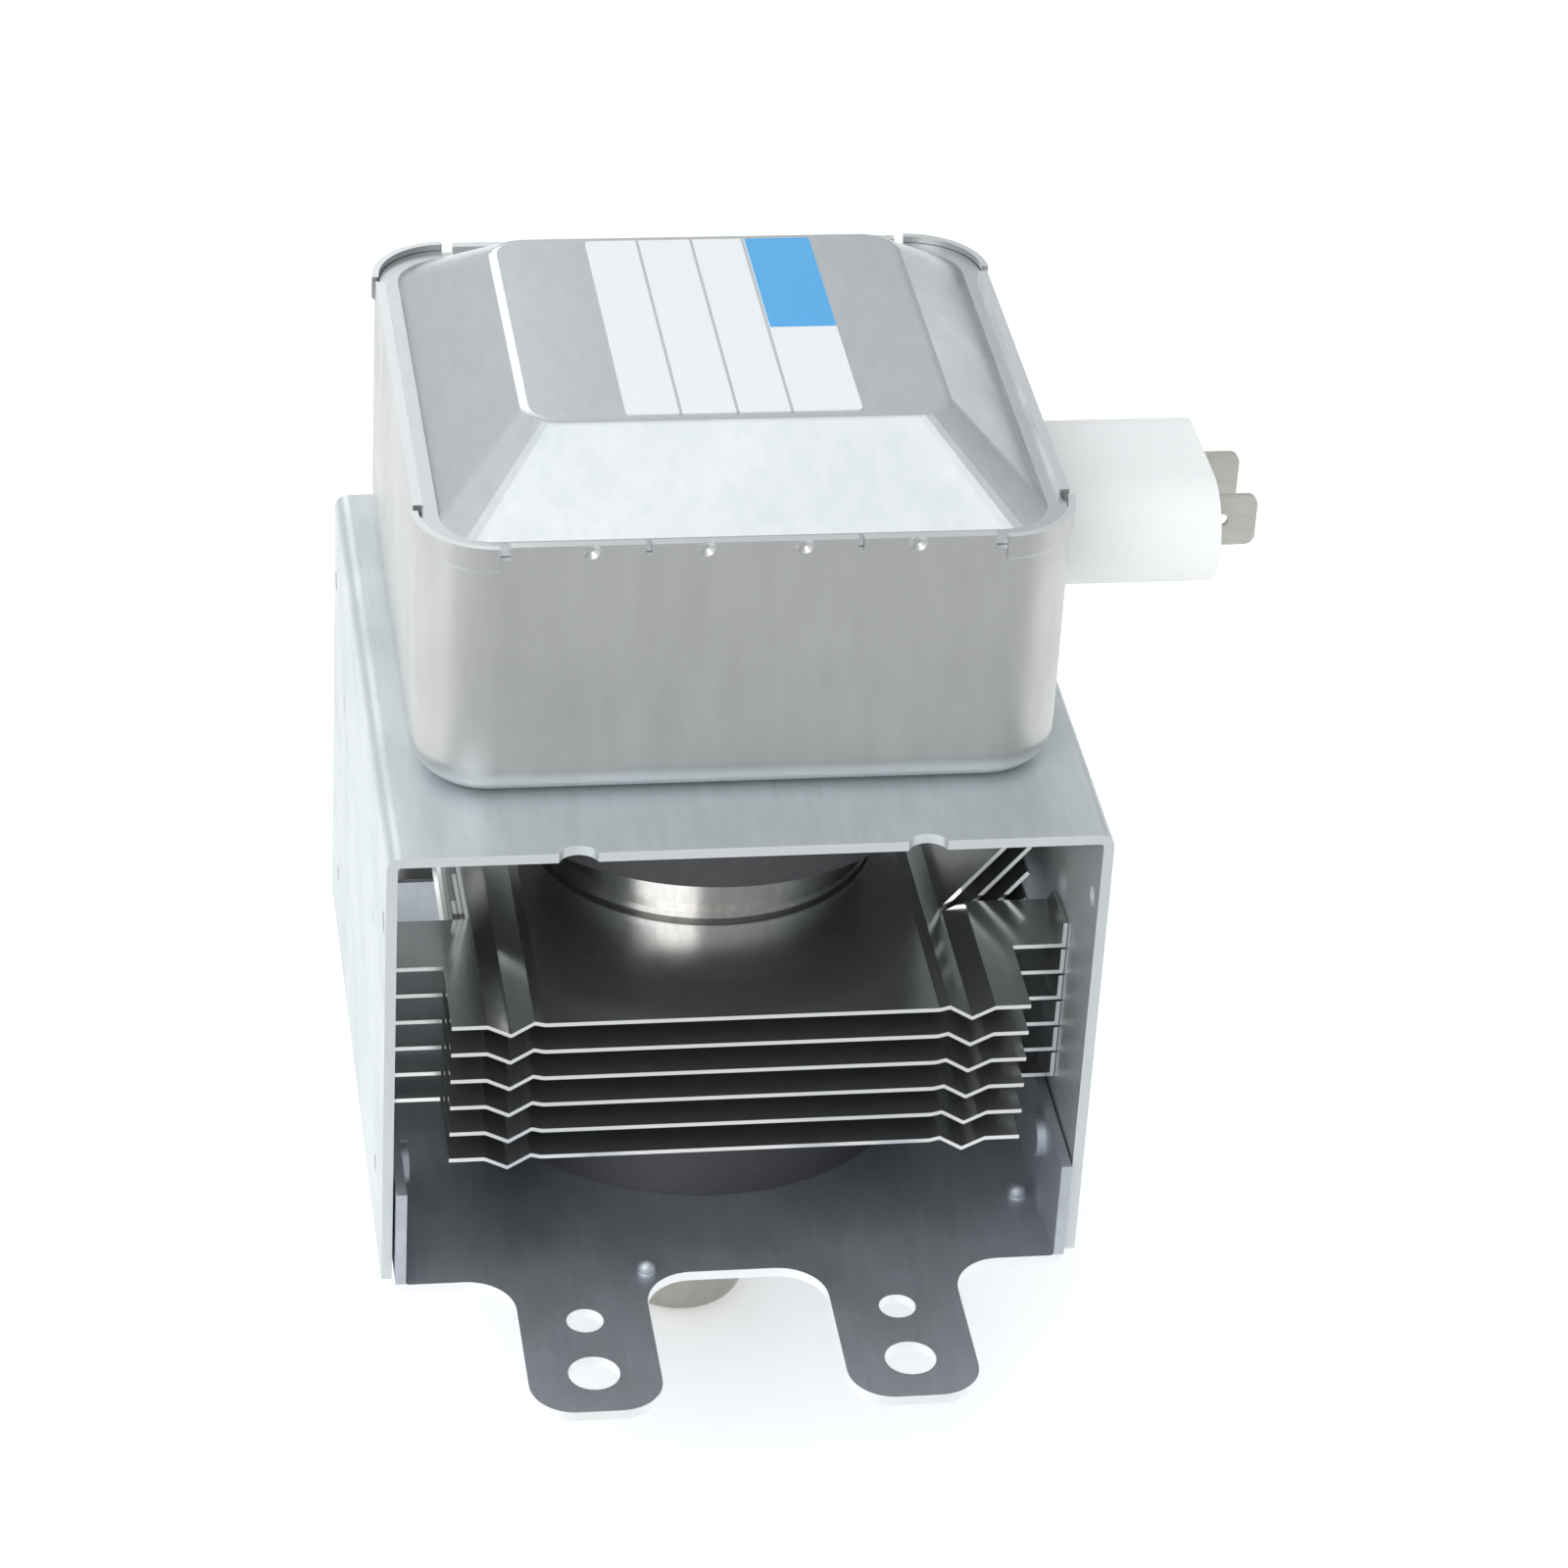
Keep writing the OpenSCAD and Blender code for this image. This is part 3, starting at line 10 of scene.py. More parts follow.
import bpy
import numpy as np
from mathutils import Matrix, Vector


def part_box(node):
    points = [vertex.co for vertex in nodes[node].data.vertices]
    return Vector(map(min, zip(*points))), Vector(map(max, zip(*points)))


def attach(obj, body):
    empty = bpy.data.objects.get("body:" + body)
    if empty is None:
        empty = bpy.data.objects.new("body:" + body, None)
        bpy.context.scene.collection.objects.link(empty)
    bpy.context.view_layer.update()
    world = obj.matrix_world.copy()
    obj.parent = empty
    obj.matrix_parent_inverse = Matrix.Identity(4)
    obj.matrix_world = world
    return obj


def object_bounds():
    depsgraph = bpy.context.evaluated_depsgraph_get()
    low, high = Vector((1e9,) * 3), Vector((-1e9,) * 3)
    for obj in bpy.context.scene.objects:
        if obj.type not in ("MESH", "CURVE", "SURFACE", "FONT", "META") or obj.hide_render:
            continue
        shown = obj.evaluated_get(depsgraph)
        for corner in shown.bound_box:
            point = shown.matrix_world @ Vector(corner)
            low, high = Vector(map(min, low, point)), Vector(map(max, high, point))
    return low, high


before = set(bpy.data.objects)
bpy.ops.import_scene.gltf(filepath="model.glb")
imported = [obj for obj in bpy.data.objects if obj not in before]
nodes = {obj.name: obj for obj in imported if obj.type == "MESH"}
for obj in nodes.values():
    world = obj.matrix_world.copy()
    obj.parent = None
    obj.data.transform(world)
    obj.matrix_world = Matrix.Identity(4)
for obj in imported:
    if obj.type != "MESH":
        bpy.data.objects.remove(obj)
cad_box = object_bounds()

MM = 0.001
print("CAD nodes:", len(nodes), "box:", [[round(v, 4) for v in corner] for corner in cad_box])

# %% [markdown]
# ## Camera
# The photo was taken from in front, a little to the left and well above the part. Lens, place and
# turn were worked out from corners that can be recognised in it, such as the yoke's edges and the
# tabs' holes. A long lens keeps the sides nearly parallel, as on a product photo.

# %% Camera at the photo's angle
lens_mm = 122.4
sensor_mm = 36.0
camera_place_mm = (-80.84, -518.99, 373.05)
camera_turn_deg = (57.683, -2.930, -8.049)

camera_data = bpy.data.cameras.new("photo_camera")
camera_data.lens = lens_mm
camera_data.sensor_width = sensor_mm
camera_data.dof.use_dof = False
camera = bpy.data.objects.new("photo_camera", camera_data)
camera.location = Vector(camera_place_mm) * MM
camera.rotation_euler = [math.radians(angle) for angle in camera_turn_deg]
bpy.context.scene.collection.objects.link(camera)
bpy.context.scene.camera = camera
print("camera distance, mm:", round(camera.location.length / MM))

# %% [markdown]
# ## Colours and nodes
# Colours are written as sRGB hex values, as a colour picker shows them. Shaders work with linear
# light, so one function turns them over. A second small function adds a node, sets it up and links
# it, which keeps each material's recipe short enough to read.

# %% Helpers for materials
# Places of the two colour inputs and of the colour output on a Mix node
FIRST, SECOND, MIXED = 6, 7, 2


def linear(hex_colour):
    """Linear RGBA of an sRGB hex colour, by the formula of the sRGB standard."""
    channels = [int(hex_colour[i:i + 2], 16) / 255 for i in (1, 3, 5)]
    return [c / 12.92 if c <= 0.04045 else ((c + 0.055) / 1.055) ** 2.4 for c in channels] + [1.0]


def add(tree, kind, inputs=None, **settings):
    """Adds a node with its settings; an input that is a socket is linked, any other is set."""
    node = tree.nodes.new("ShaderNode" + kind)
    for name, value in settings.items():
        setattr(node, name, value)
    for name, value in (inputs or {}).items():
        if isinstance(value, bpy.types.NodeSocket):
            tree.links.new(value, node.inputs[name])
        else:
            node.inputs[name].default_value = value
    return node


def start_material(name):
    """New material with an empty tree, its shader and the object's coordinates in metres."""
    material = bpy.data.materials.new(name)
    material.use_nodes = True
    tree = material.node_tree
    tree.nodes.clear()
    shader = add(tree, "BsdfPrincipled")
    add(tree, "OutputMaterial", {"Surface": shader.outputs["BSDF"]})
    place = add(tree, "TexCoord").outputs["Object"]
    return material, tree, shader, place


def per_mm(size_mm):
    """Texture scale at which one pattern cell is that many millimetres wide."""
    return 1.0 / (size_mm * MM)


def finish_node(names, material):
    """Gives a finish to CAD nodes."""
    for name in names.split():
        nodes[name].data.materials.clear()
        nodes[name].data.materials.append(material)
    print(material.name, "->", names)


# %% [markdown]
# ## Sheet metal
# Most of what is seen is thin zinc-coated steel. Zinc gives a pale blue-grey metal with a soft
# reflection, smudges about a centimetre wide, and rolling or drawing marks along the sheet. All metal
# finishes share one recipe with different colours, gloss and mark sizes, because the real ones
# differ in just these. Real rolling lines are finer than a pixel, so the marks are drawn as coarse as
# they need to show.

# %% Recipe for rolled and plated metal
def sheet_metal(name, colour, shade, roughness, spread, mark_mm, stretch, bump_mm=0.004, metallic=1.0):
    """Metal whose tone runs from colour to shade in stretched marks and softer smudges."""
    smudge_mm = 14.0
    noise_detail = 3.0
    mark_contrast = 0.6
    tone_low, tone_high = 0.75, 1.3
    gloss_low, gloss_high = 0.3, 0.7
    relief_strength = 0.5

    material, tree, shader, place = start_material(name)
    shader.inputs["Metallic"].default_value = metallic
    flow = add(tree, "Mapping", {"Vector": place, "Scale": stretch})
    marks = add(tree, "TexNoise", {"Vector": flow.outputs[0], "Scale": per_mm(mark_mm),
                                   "Detail": noise_detail, "Roughness": mark_contrast})
    smudges = add(tree, "TexNoise", {"Vector": place, "Scale": per_mm(smudge_mm), "Detail": noise_detail})
    both = add(tree, "Math", {0: marks.outputs["Fac"], 1: smudges.outputs["Fac"]}, operation="ADD")
    tone = add(tree, "MapRange", {"Value": both.outputs[0], "From Min": tone_low, "From Max": tone_high})
    colours = add(tree, "Mix", {"Factor": tone.outputs[0], FIRST: linear(colour), SECOND: linear(shade)},
                  data_type="RGBA")
    tree.links.new(colours.outputs[MIXED], shader.inputs["Base Color"])
    gloss = add(tree, "MapRange", {"Value": smudges.outputs["Fac"],
                                   "From Min": gloss_low, "From Max": gloss_high,
                                   "To Min": roughness - spread, "To Max": roughness + spread})
    tree.links.new(gloss.outputs[0], shader.inputs["Roughness"])
    relief = add(tree, "Bump", {"Height": marks.outputs["Fac"], "Strength": relief_strength,
                                "Distance": bump_mm * MM})
    tree.links.new(relief.outputs[0], shader.inputs["Normal"])
    return material


# %% [markdown]
# ## Finishes of the steel and aluminium sheet
# Each finish starts from a typical metal and is then matched to the photo. Hot-dip zinc has hazed a
# little with age and scatters some light as paint does, so the yoke isn't wholly metallic. The can was
# drawn upwards, which leaves upright marks. The lid was pressed in one stroke and stays smoother. The
# fins are bright rolled aluminium, nearly a mirror, and look dark because they mirror dark places.

# %% Galvanised, drawn, pressed and rolled sheet
# Pale and soft, with marks along the depth of the yoke
galvanised_sheet = sheet_metal(
    "galvanised_steel_sheet", "#d2d8da", "#c7cdcf", roughness=0.46, spread=0.06,
    mark_mm=1.2, stretch=(1, 0.12, 1), metallic=0.7)
# Duller and bluer, with a broad reflection that goes dark in the yoke's shade
galvanised_plate = sheet_metal(
    "galvanised_steel_plate", "#c6cbd2", "#b9bec6", roughness=0.58, spread=0.06,
    mark_mm=1.2, stretch=(1, 0.12, 1))
# Satin grey, with faint upright streaks
drawn_zinc_steel = sheet_metal(
    "drawn_zinc_plated_steel", "#c0c1c0", "#b7b8b7", roughness=0.38, spread=0.04,
    mark_mm=3.0, stretch=(1, 1, 0.2), bump_mm=0.002)
# Lighter and glossier, so that each slope shows another part of the studio
pressed_zinc_steel = sheet_metal(
    "pressed_zinc_plated_steel", "#d6dadc", "#cdd2d3", roughness=0.28, spread=0.04,
    mark_mm=1.6, stretch=(1, 0.3, 1), bump_mm=0.0005)
# Near mirror with fine lines along the sheet
rolled_aluminium = sheet_metal(
    "rolled_aluminium_sheet", "#c6c7c6", "#babcbb", roughness=0.2, spread=0.05,
    mark_mm=0.8, stretch=(1, 0.08, 1), bump_mm=0.002, metallic=0.93)
print("sheet finishes: galvanised sheet and plate, drawn and pressed zinc, rolled aluminium")

# %% [markdown]
# ## Finishes of the small metal pieces
# The other metals are small or hidden, and take the same recipe. Tin and nickel are warm greys beside
# the zinc, bare copper is orange, and drawn tungsten is a dark grey. The anode is copper under a thin
# silver skin, which gives it the brightest mirror of the part.

# %% Plated, drawn and bare metal
# Clean zinc with no direction
zinc_rivet_steel = sheet_metal(
    "zinc_plated_rivet_steel", "#c6caca", "#b5b9ba", roughness=0.33, spread=0.05,
    mark_mm=1.0, stretch=(1, 1, 1))
# Warm and glossy
nickel_plated_steel = sheet_metal(
    "nickel_plated_pole_steel", "#c9c8c4", "#bbb9b4", roughness=0.28, spread=0.05,
    mark_mm=1.0, stretch=(1, 1, 1))
# Brownish satin, streaked along the cap
satin_cap_steel = sheet_metal(
    "satin_plated_cap_steel", "#b3b0a8", "#a5a29a", roughness=0.42, spread=0.05,
    mark_mm=0.9, stretch=(1, 1, 0.15))
# Soft warm grey, streaked along the tab
tin_plated_brass = sheet_metal(
    "tin_plated_brass", "#d0d0c9", "#c2c2ba", roughness=0.4, spread=0.05,
    mark_mm=0.7, stretch=(0.2, 1, 1))
# Bright mirror
silvered_copper = sheet_metal(
    "silver_plated_copper", "#d0cfcc", "#c2c0be", roughness=0.2, spread=0.05,
    mark_mm=0.8, stretch=(1, 1, 0.2), bump_mm=0.001)
# Orange and glossy
bare_copper = sheet_metal(
    "drawn_bare_copper", "#d08a62", "#bb7750", roughness=0.3, spread=0.06,
    mark_mm=0.8, stretch=(1, 1, 0.3))
# Dark, slightly blue grey
drawn_tungsten = sheet_metal(
    "drawn_tungsten", "#8e9195", "#7c7f83", roughness=0.38, spread=0.05,
    mark_mm=0.5, stretch=(1, 1, 0.3))
print("small metal finishes: zinc, nickel, satin plate, tin, silver, copper, tungsten")

# %% [markdown]
# ## Painted highlights on the sheet
# The can's rim, which looks up, and the fold at its foot, which looks down, are painted lighter
# as highlights. So are the cut edges of the fins, the yoke and the plate, as bright reflections.
# A mask from the direction that a face looks in mixes the second, lighter tone into the colour.
# Where direction alone isn't enough, the face's place helps.

# %% Masks from the surface normal
def normal_part(tree, axis):
    """One axis of the surface normal, from -1 to 1."""
    return add(tree, "SeparateXYZ", {0: add(tree, "NewGeometry").outputs["Normal"]}).outputs[axis]


def place_part(tree, axis):
    """One axis of the object's coordinates, in metres."""
    return add(tree, "SeparateXYZ", {0: add(tree, "TexCoord").outputs["Object"]}).outputs[axis]


def paint_highlight(material, mask, colour):
    """Mixes a painted highlight colour into a metal where its mask is one."""
    tree = material.node_tree
    base = tree.nodes["Principled BSDF"].inputs["Base Color"]
    plain = base.links[0].from_socket
    mixed = add(tree, "Mix", {"Factor": mask, FIRST: plain, SECOND: linear(colour)}, data_type="RGBA")
    tree.links.new(mixed.outputs[MIXED], base)


# %% Painted highlights on the rim and foot of the can
rim_from, rim_to = 0.3, 0.9
foot_from, foot_to = -0.1, -0.5

# Painted highlights: the colour is lighter where the rim faces up and where the foot faces down
tree = drawn_zinc_steel.node_tree
rim_highlight_mask = add(tree, "MapRange", {"Value": normal_part(tree, "Z"),
                                  "From Min": rim_from, "From Max": rim_to})
paint_highlight(drawn_zinc_steel, rim_highlight_mask.outputs[0], "#e2e4e5")
foot_highlight_mask = add(tree, "MapRange", {"Value": normal_part(tree, "Z"),
                                   "From Min": foot_from, "From Max": foot_to})
paint_highlight(drawn_zinc_steel, foot_highlight_mask.outputs[0], "#f0f3f5")
print("brighter places of the can: rim and foot")

# %% Painted highlights on the cut edges
fin_edge_from = 0.7
yoke_end_mm = 0.7
plate_edge_below = 0.5
plate_top_mm = 1.3

# Painted highlights: lighter colour on the fins' faces along y, the yoke's outer ends and the plate's low
# steep faces
tree = rolled_aluminium.node_tree
endways = add(tree, "Math", {0: normal_part(tree, "Y")}, operation="ABSOLUTE")
fin_edge_highlight_mask = add(tree, "Math", {0: endways.outputs[0], 1: fin_edge_from}, operation="GREATER_THAN")
paint_highlight(rolled_aluminium, fin_edge_highlight_mask.outputs[0], "#f2f3f2")

tree = galvanised_sheet.node_tree
end_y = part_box("upper_yoke")[1].y - yoke_end_mm * MM
from_middle = add(tree, "Math", {0: place_part(tree, "Y")}, operation="ABSOLUTE")
outermost = add(tree, "Math", {0: from_middle.outputs[0], 1: end_y}, operation="GREATER_THAN")
endways = add(tree, "Math", {0: normal_part(tree, "Y")}, operation="ABSOLUTE")
yoke_end_highlight_mask = add(tree, "Math", {0: outermost.outputs[0], 1: endways.outputs[0]}, operation="MULTIPLY")
paint_highlight(galvanised_sheet, yoke_end_highlight_mask.outputs[0], "#ced3d5")

tree = galvanised_plate.node_tree
steep = add(tree, "Math", {0: normal_part(tree, "Z"), 1: 0.0, 2: plate_edge_below}, operation="COMPARE")
low = add(tree, "Math", {0: place_part(tree, "Z"), 1: plate_top_mm * MM}, operation="LESS_THAN")
plate_edge_highlight_mask = add(tree, "Math", {0: steep.outputs[0], 1: low.outputs[0]}, operation="MULTIPLY")
paint_highlight(galvanised_plate, plate_edge_highlight_mask.outputs[0], "#f3f4f6")
print("brighter edges: fins, yoke beyond y, mm:", round(end_y / MM, 1), "plate below z, mm:", plate_top_mm)

# %% [markdown]
# ## Metals on their pieces
# The solids have the right shapes already, so each CAD node keeps its mesh and only takes a finish.

# %% Finishes put on the metal pieces
finish_node("upper_yoke", galvanised_sheet)
finish_node("lower_yoke", galvanised_plate)
finish_node("filter_box", drawn_zinc_steel)
finish_node("filter_lid", pressed_zinc_steel)
finish_node("fin_1 fin_2 fin_3 fin_4 fin_5 fin_6", rolled_aluminium)
finish_node("box_rivets ground_plate ground_rivets gasket_ring", zinc_rivet_steel)
finish_node("upper_pole_piece lower_pole_piece", nickel_plated_steel)
finish_node("cathode_seal antenna_seal stem_terminals", nickel_plated_steel)
finish_node("antenna_cap", satin_cap_steel)
finish_node("terminal_front terminal_rear", tin_plated_brass)
finish_node("anode_cylinder", silvered_copper)
finish_node("choke_coil_front choke_coil_rear", bare_copper)
finish_node("anode_vanes strap_rings antenna_lead exhaust_tube", bare_copper)
finish_node("filament upper_end_hat lower_end_hat centre_lead side_lead", drawn_tungsten)

# %% [markdown]
# ## Ferrite, ceramic, plastic and resin
# The ring magnets are sintered ferrite: a dark, slightly violet ceramic, ground flat, with fine
# pores. The insulators are fired alumina. The connector is a white glass-filled plastic, moulded
# with a faint grain. None of these is a metal, so their colour comes from inside the surface. The
# real grains are a few hundredths of a millimetre wide, and are drawn coarser here to show at all.

# %% Recipe for fired and moulded bodies
def solid_body(name, colour, shade, roughness, grain_mm, bump_mm, ior):
    """Non-metal with grains of two tones and a shallow relief."""
    noise_detail = 5.0
    spread = 0.08
    relief_strength = 0.4

    material, tree, shader, place = start_material(name)
    shader.inputs["IOR"].default_value = ior
    grains = add(tree, "TexNoise", {"Vector": place, "Scale": per_mm(grain_mm), "Detail": noise_detail})
    colours = add(tree, "Mix", {"Factor": grains.outputs["Fac"],
                                FIRST: linear(colour), SECOND: linear(shade)}, data_type="RGBA")
    tree.links.new(colours.outputs[MIXED], shader.inputs["Base Color"])
    gloss = add(tree, "MapRange", {"Value": grains.outputs["Fac"],
                                   "To Min": roughness - spread, "To Max": roughness + spread})
    tree.links.new(gloss.outputs[0], shader.inputs["Roughness"])
    relief = add(tree, "Bump", {"Height": grains.outputs["Fac"], "Strength": relief_strength,
                                "Distance": bump_mm * MM})
    tree.links.new(relief.outputs[0], shader.inputs["Normal"])
    return material


# %% Finishes put on the fired and moulded pieces
# Nearly black, with a dull sheen
sintered_ferrite = solid_body(
    "ground_sintered_ferrite", "#38363c", "#2b2a2f", roughness=0.55, grain_mm=0.8, bump_mm=0.02, ior=1.8)
# Clean white with a soft gloss
white_plastic = solid_body(
    "moulded_white_pbt", "#f6f7f7", "#eceeee", roughness=0.42, grain_mm=0.5, bump_mm=0.01, ior=1.55)
# Cream white and matt
white_alumina = solid_body(
    "fired_white_alumina", "#efe9df", "#e2dbcf", roughness=0.5, grain_mm=0.6, bump_mm=0.01, ior=1.76)
# Coloured pink by a little chromium oxide
pink_alumina = solid_body(
    "fired_pink_alumina", "#dfd0d6", "#d0bfc7", roughness=0.5, grain_mm=0.6, bump_mm=0.01, ior=1.76)
# Beige and glossy
cast_resin = solid_body(
    "cast_epoxy_resin", "#d9d2c3", "#c9c1b0", roughness=0.38, grain_mm=1.5, bump_mm=0.01, ior=1.55)

finish_node("upper_magnet lower_magnet choke_core_front choke_core_rear", sintered_ferrite)
finish_node("connector_housing", white_plastic)
finish_node("antenna_ceramic", white_alumina)
finish_node("stem_ceramic", pink_alumina)
finish_node("capacitor_block", cast_resin)

# %% [markdown]
# ## Label
# The label is coated white paper with thin grey rules along its length and a blue field in one
# corner. The print lies in the paper, so it belongs in the material: each rule and the field is a
# range of the label's own coordinates, measured from its lower left corner.

# %% Printed paper
rule_shares = (0.23, 0.47, 0.70)
rule_mm = 0.35
field_from_x, field_from_y = 0.71, 0.47
# Paper fibres are thinner than this, which is as coarse as they need to show
fibre_mm = 0.6
fibre_detail = 4.0

label_low, label_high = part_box("rating_label")
label_w = label_high.x - label_low.x
label_l = label_high.y - label_low.y

printed_paper, tree, shader, place = start_material("printed_coated_paper")
shader.inputs["Roughness"].default_value = 0.45
axes = add(tree, "SeparateXYZ", {0: place})
ink = None
for share in rule_shares:
    rule_x = label_low.x + share * label_w
    rule = add(tree, "Math", {0: axes.outputs["X"], 1: rule_x, 2: rule_mm / 2 * MM}, operation="COMPARE")
    if ink is None:
        ink = rule
    else:
        ink = add(tree, "Math", {0: ink.outputs[0], 1: rule.outputs[0]}, operation="MAXIMUM")
right = add(tree, "Math", {0: axes.outputs["X"], 1: label_low.x + field_from_x * label_w},
            operation="GREATER_THAN")
back = add(tree, "Math", {0: axes.outputs["Y"], 1: label_low.y + field_from_y * label_l},
           operation="GREATER_THAN")
field = add(tree, "Math", {0: right.outputs[0], 1: back.outputs[0]}, operation="MULTIPLY")
fibres = add(tree, "TexNoise", {"Vector": place, "Scale": per_mm(fibre_mm), "Detail": fibre_detail})
paper = add(tree, "Mix", {"Factor": fibres.outputs["Fac"],
                          FIRST: linear("#eef0f1"), SECOND: linear("#e6e9ea")}, data_type="RGBA")
ruled = add(tree, "Mix", {"Factor": ink.outputs[0],
                          FIRST: paper.outputs[MIXED], SECOND: linear("#b9bcc2")}, data_type="RGBA")
printed = add(tree, "Mix", {"Factor": field.outputs[0],
                            FIRST: ruled.outputs[MIXED], SECOND: linear("#4fa8e4")}, data_type="RGBA")
tree.links.new(printed.outputs[MIXED], shader.inputs["Base Color"])
finish_node("rating_label", printed_paper)
print("label, mm:", round(label_w / MM, 1), "x", round(label_l / MM, 1), "with", len(rule_shares), "rules")

# %% [markdown]
# ## Wire of the gasket
# Under the plate a ring of knitted wire seals the gap to the waveguide. The solid ring is its core.
# A bump map would leave its outline smooth, so real tubes are made: two sets of thin wires wind round
# the core in opposite directions, as the strands of a knitted tube do. Each follows a rounded square,
# the core's section, and stops where the plate hides it.

# %% Measures of the gasket's core
knitted_wire = sheet_metal(
    "knitted_steel_wire", "#a9aaa8", "#8f908e", roughness=0.38, spread=0.05,
    mark_mm=0.6, stretch=(1, 1, 1))
finish_node("mesh_gasket", knitted_wire)

gasket_low, gasket_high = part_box("mesh_gasket")
core_points = np.array([vertex.co for vertex in nodes["mesh_gasket"].data.vertices])
core_radii = np.hypot(core_points[:, 0], core_points[:, 1])
middle_r = (core_radii.min() + core_radii.max()) / 2
half_w = (core_radii.max() - core_radii.min()) / 2
half_h = (gasket_high.z - gasket_low.z) / 2
middle_z = (gasket_high.z + gasket_low.z) / 2
print("gasket core, mm: middle radius", round(middle_r / MM, 2), "width", round(2 * half_w / MM, 2))

# %% Knitted wire round the core
wire_r = 0.15 * MM
strands = 60
points_per_strand = 16
wire_sides = 5
advance = math.radians(26)
squareness = 4.0
seen_from, seen_to = math.radians(-140), math.radians(50)

share = np.linspace(0, 1, points_per_strand)
round_angle = seen_from + (seen_to - seen_from) * share
across = np.sign(np.cos(round_angle)) * np.abs(np.cos(round_angle)) ** (2 / squareness)
upward = np.sign(np.sin(round_angle)) * np.abs(np.sin(round_angle)) ** (2 / squareness)


def unit_rows(vectors):
    """The same vectors, each one long."""
    return vectors / np.linalg.norm(vectors, axis=1)[:, None]


def strand_tube(start_angle, lean):
    """Points of one wire's tube, ring after ring, that leans to one side as it winds round the core."""
    ring_angle = start_angle + lean * advance * (share - 0.5)
    radius = middle_r + half_w * across
    path = np.stack([radius * np.cos(ring_angle), radius * np.sin(ring_angle),
                     middle_z + half_h * upward], axis=1)
    along = unit_rows(np.gradient(path, axis=0))
    out = np.stack([across * np.cos(ring_angle), across * np.sin(ring_angle), upward], axis=1)
    side = unit_rows(np.cross(along, out))
    out = np.cross(side, along)
    points = []
    for k in range(points_per_strand):
        for j in range(wire_sides):
            turn = 2 * math.pi * j / wire_sides
            points.append(path[k] + wire_r * (math.cos(turn) * out[k] + math.sin(turn) * side[k]))
    return points


def tube_faces(first):
    """Faces between the rings of a tube whose points start at a given number."""
    faces = []
    for k in range(points_per_strand - 1):
        here, there = first + k * wire_sides, first + (k + 1) * wire_sides
        for j in range(wire_sides):
            following = (j + 1) % wire_sides
            faces.append((here + j, here + following, there + following, there + j))
    return faces


wire_points, wire_faces = [], []
for lean in (-1, 1):
    for strand in range(strands):
        wire_faces += tube_faces(len(wire_points))
        wire_points += strand_tube(2 * math.pi * strand / strands, lean)

wire_mesh = bpy.data.meshes.new("gasket_wires")
wire_mesh.from_pydata([tuple(point) for point in wire_points], [], wire_faces)
wire_mesh.polygons.foreach_set("use_smooth", [True] * len(wire_mesh.polygons))
wire_mesh.materials.append(knitted_wire)
gasket_wires = bpy.data.objects.new("gasket_wires", wire_mesh)
bpy.context.scene.collection.objects.link(gasket_wires)
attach(gasket_wires, "root")
print("gasket wires:", 2 * strands, "strands,", len(wire_faces), "faces")

# %% [markdown]
# ## Floor and grey card
# The part is shown over a plain pale floor. It glows a little, as a light table does, which keeps the
# shadow under the tabs pale. Metal shows what surrounds it, and the front faces would mirror the white
# floor and lose their shape. So a grey card lies before the part, where only reflections show it.

# %% Floor
def flat_sheet(name, low_mm, high_mm, height):
    """Level rectangle of the studio between two corners."""
    (low_x, low_y), (high_x, high_y) = low_mm, high_mm
    corners = [(low_x, low_y), (high_x, low_y), (high_x, high_y), (low_x, high_y)]
    mesh = bpy.data.meshes.new(name)
    mesh.from_pydata([(x * MM, y * MM, height) for x, y in corners], [], [(0, 1, 2, 3)])
    sheet = bpy.data.objects.new(name, mesh)
    bpy.context.scene.collection.objects.link(sheet)
    return sheet


matt = 0.9
floor_gap_mm = 0.5
floor_reach_mm = 3000
floor_glow = 0.3

floor_z = cad_box[0][2] - floor_gap_mm * MM
floor = flat_sheet("studio_floor", (-floor_reach_mm, -floor_reach_mm),
                   (floor_reach_mm, floor_reach_mm), floor_z)
backdrop_paper, _, shader, _ = start_material("matt_backdrop_paper")
shader.inputs["Base Color"].default_value = linear("#fbfbfa")
shader.inputs["Roughness"].default_value = matt
shader.inputs["Emission Color"].default_value = linear("#ffffff")
shader.inputs["Emission Strength"].default_value = floor_glow
floor.data.materials.append(backdrop_paper)
print("floor at z, mm:", round(floor_z / MM, 2))

# %% Grey card before the part
card_low_mm, card_high_mm = (-260, -520), (260, -100)
card_lift_mm = 0.2

card = flat_sheet("grey_card", card_low_mm, card_high_mm, floor_z + card_lift_mm * MM)
card.visible_camera = False
card.visible_shadow = False
card.visible_diffuse = False
grey_card, _, shader, _ = start_material("matt_grey_card")
shader.inputs["Base Color"].default_value = linear("#d6d6d6")
shader.inputs["Roughness"].default_value = matt
card.data.materials.append(grey_card)
print("grey card from y", card_low_mm[1], "to", card_high_mm[1], "mm")

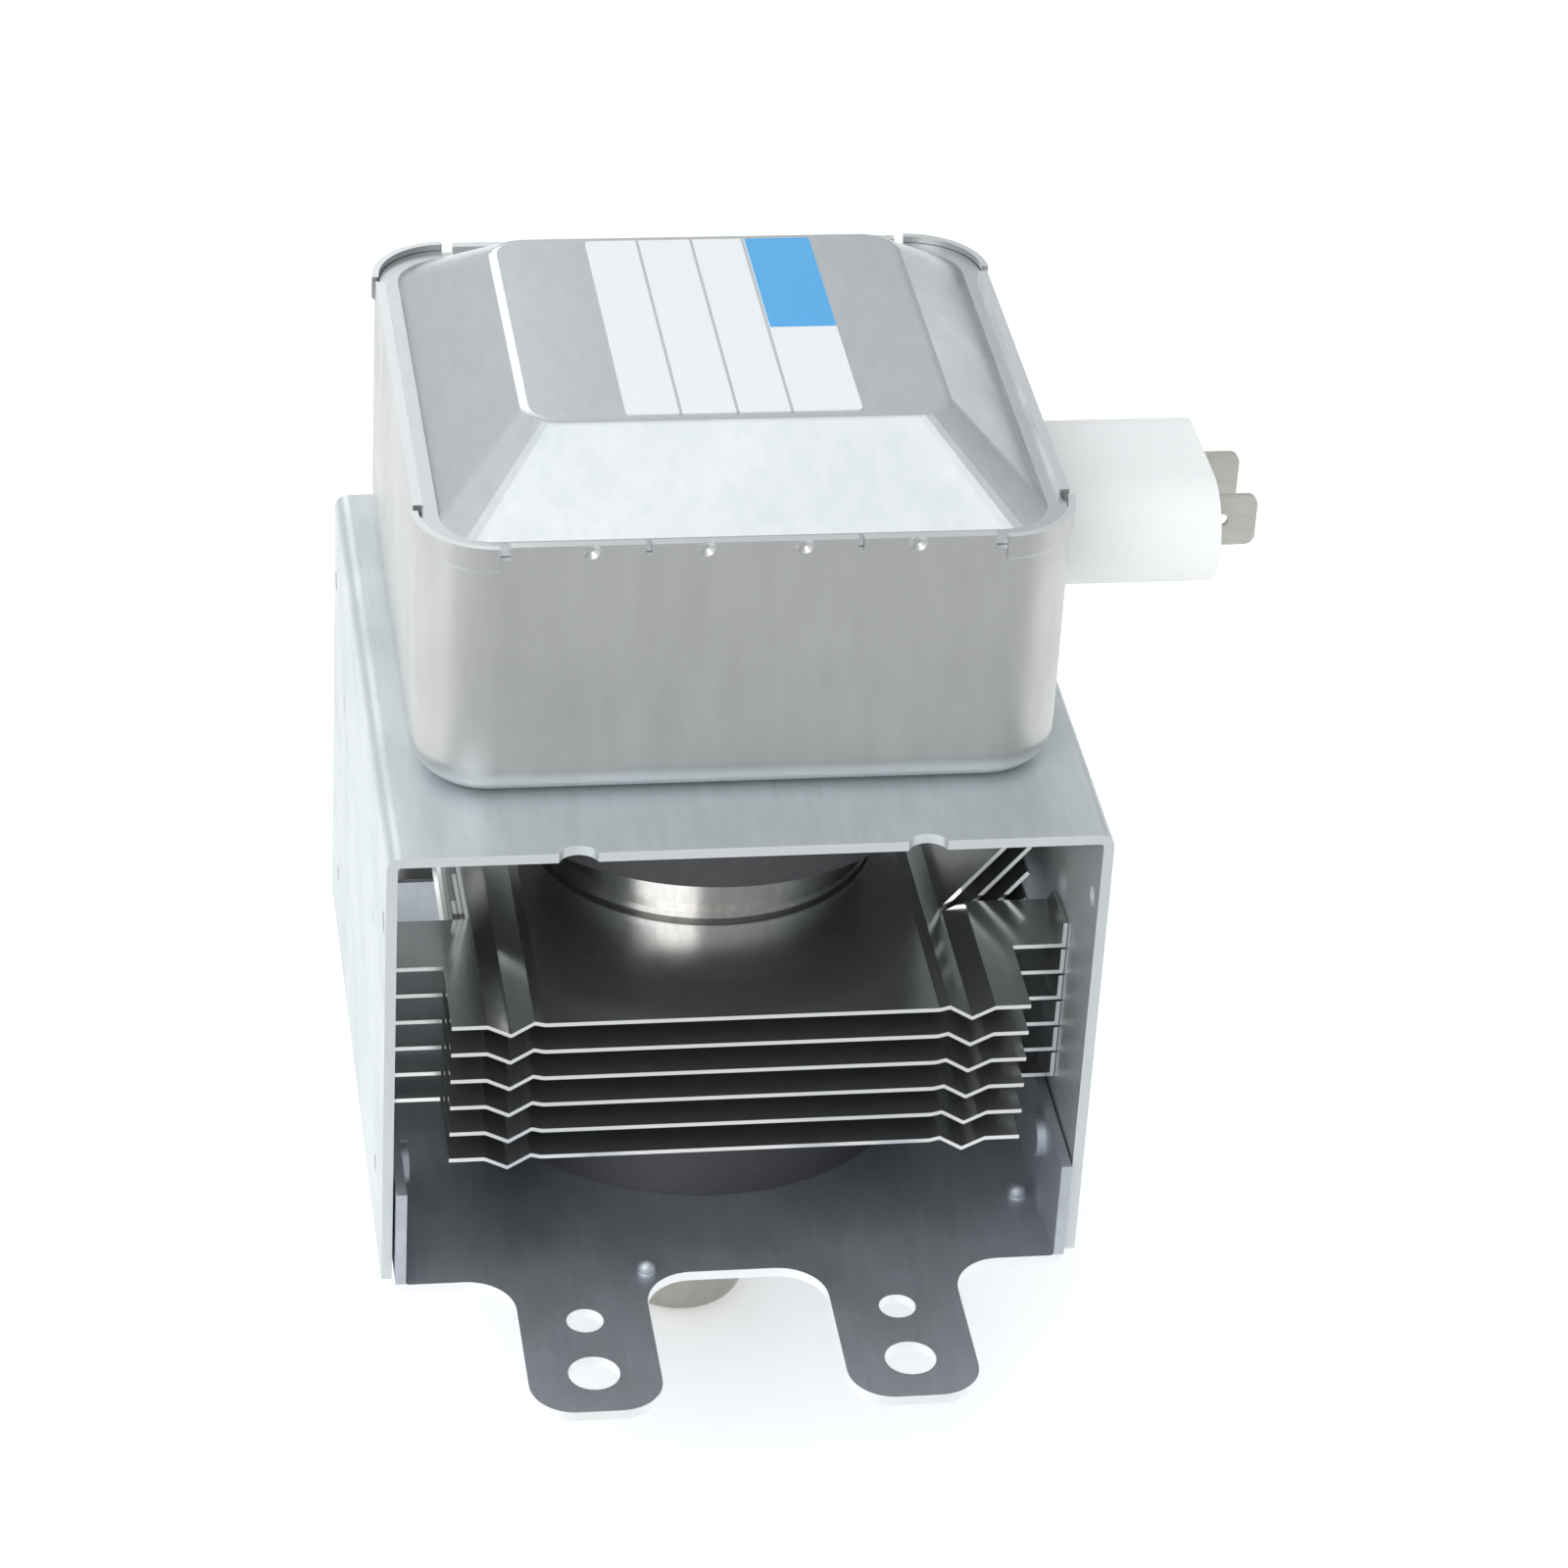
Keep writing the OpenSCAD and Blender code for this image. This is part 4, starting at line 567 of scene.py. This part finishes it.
# %% [markdown]
# ## Lights and surroundings
# Large soft lights matter as much for their reflections as for their light: one overhead for the lid,
# one from the left for the bright side wall, one low behind for the top plate and the lid's shoulder,
# and one in front for the can and the anode. The rest of the room is a pale even white that fades
# to the right and towards the horizon, which tells the faces of the part apart.

# %% Softboxes
def soft_light(name, place_mm, aim_mm, size_mm, watts):
    """Square area light at a place, turned to a point."""
    data = bpy.data.lights.new(name, "AREA")
    data.size = size_mm * MM
    data.energy = watts
    light = bpy.data.objects.new(name, data)
    light.location = Vector(place_mm) * MM
    direction = (Vector(aim_mm) - Vector(place_mm)).normalized()
    light.rotation_euler = direction.to_track_quat("-Z", "Y").to_euler()
    bpy.context.scene.collection.objects.link(light)
    print(name, watts, "W")


low_aim_mm = (0, 0, 40)
high_aim_mm = (0, 0, 60)
soft_light("overhead_softbox", (0, -250, 900), low_aim_mm, size_mm=800, watts=1.3)
soft_light("left_softbox", (-900, -250, 350), low_aim_mm, size_mm=700, watts=0.4)
soft_light("back_softbox", (-190, 820, 500), high_aim_mm, size_mm=400, watts=0.8)
soft_light("front_softbox", (-450, -800, 600), high_aim_mm, size_mm=700, watts=4.0)

# %% Pale room
side_reach = 0.8
left_strength, right_strength = 1.02, 0.64
high_from = 0.5
horizon_share, high_share = 0.75, 1.0

world = bpy.data.worlds.new("pale_studio")
world.use_nodes = True
tree = world.node_tree
background = tree.nodes["Background"]
background.inputs["Color"].default_value = linear("#eef1f3")
towards = add(tree, "SeparateXYZ", {0: add(tree, "TexCoord").outputs["Generated"]})
sideways = add(tree, "MapRange", {"Value": towards.outputs["X"],
                                  "From Min": -side_reach, "From Max": side_reach,
                                  "To Min": left_strength, "To Max": right_strength})
upwards = add(tree, "MapRange", {"Value": towards.outputs["Z"],
                                 "From Min": 0.0, "From Max": high_from,
                                 "To Min": horizon_share, "To Max": high_share})
strength = add(tree, "Math", {0: sideways.outputs[0], 1: upwards.outputs[0]}, operation="MULTIPLY")
tree.links.new(strength.outputs[0], background.inputs["Strength"])
bpy.context.scene.world = world
bpy.context.scene.view_settings.view_transform = "Standard"
print("room strength: left", left_strength, "right", right_strength)
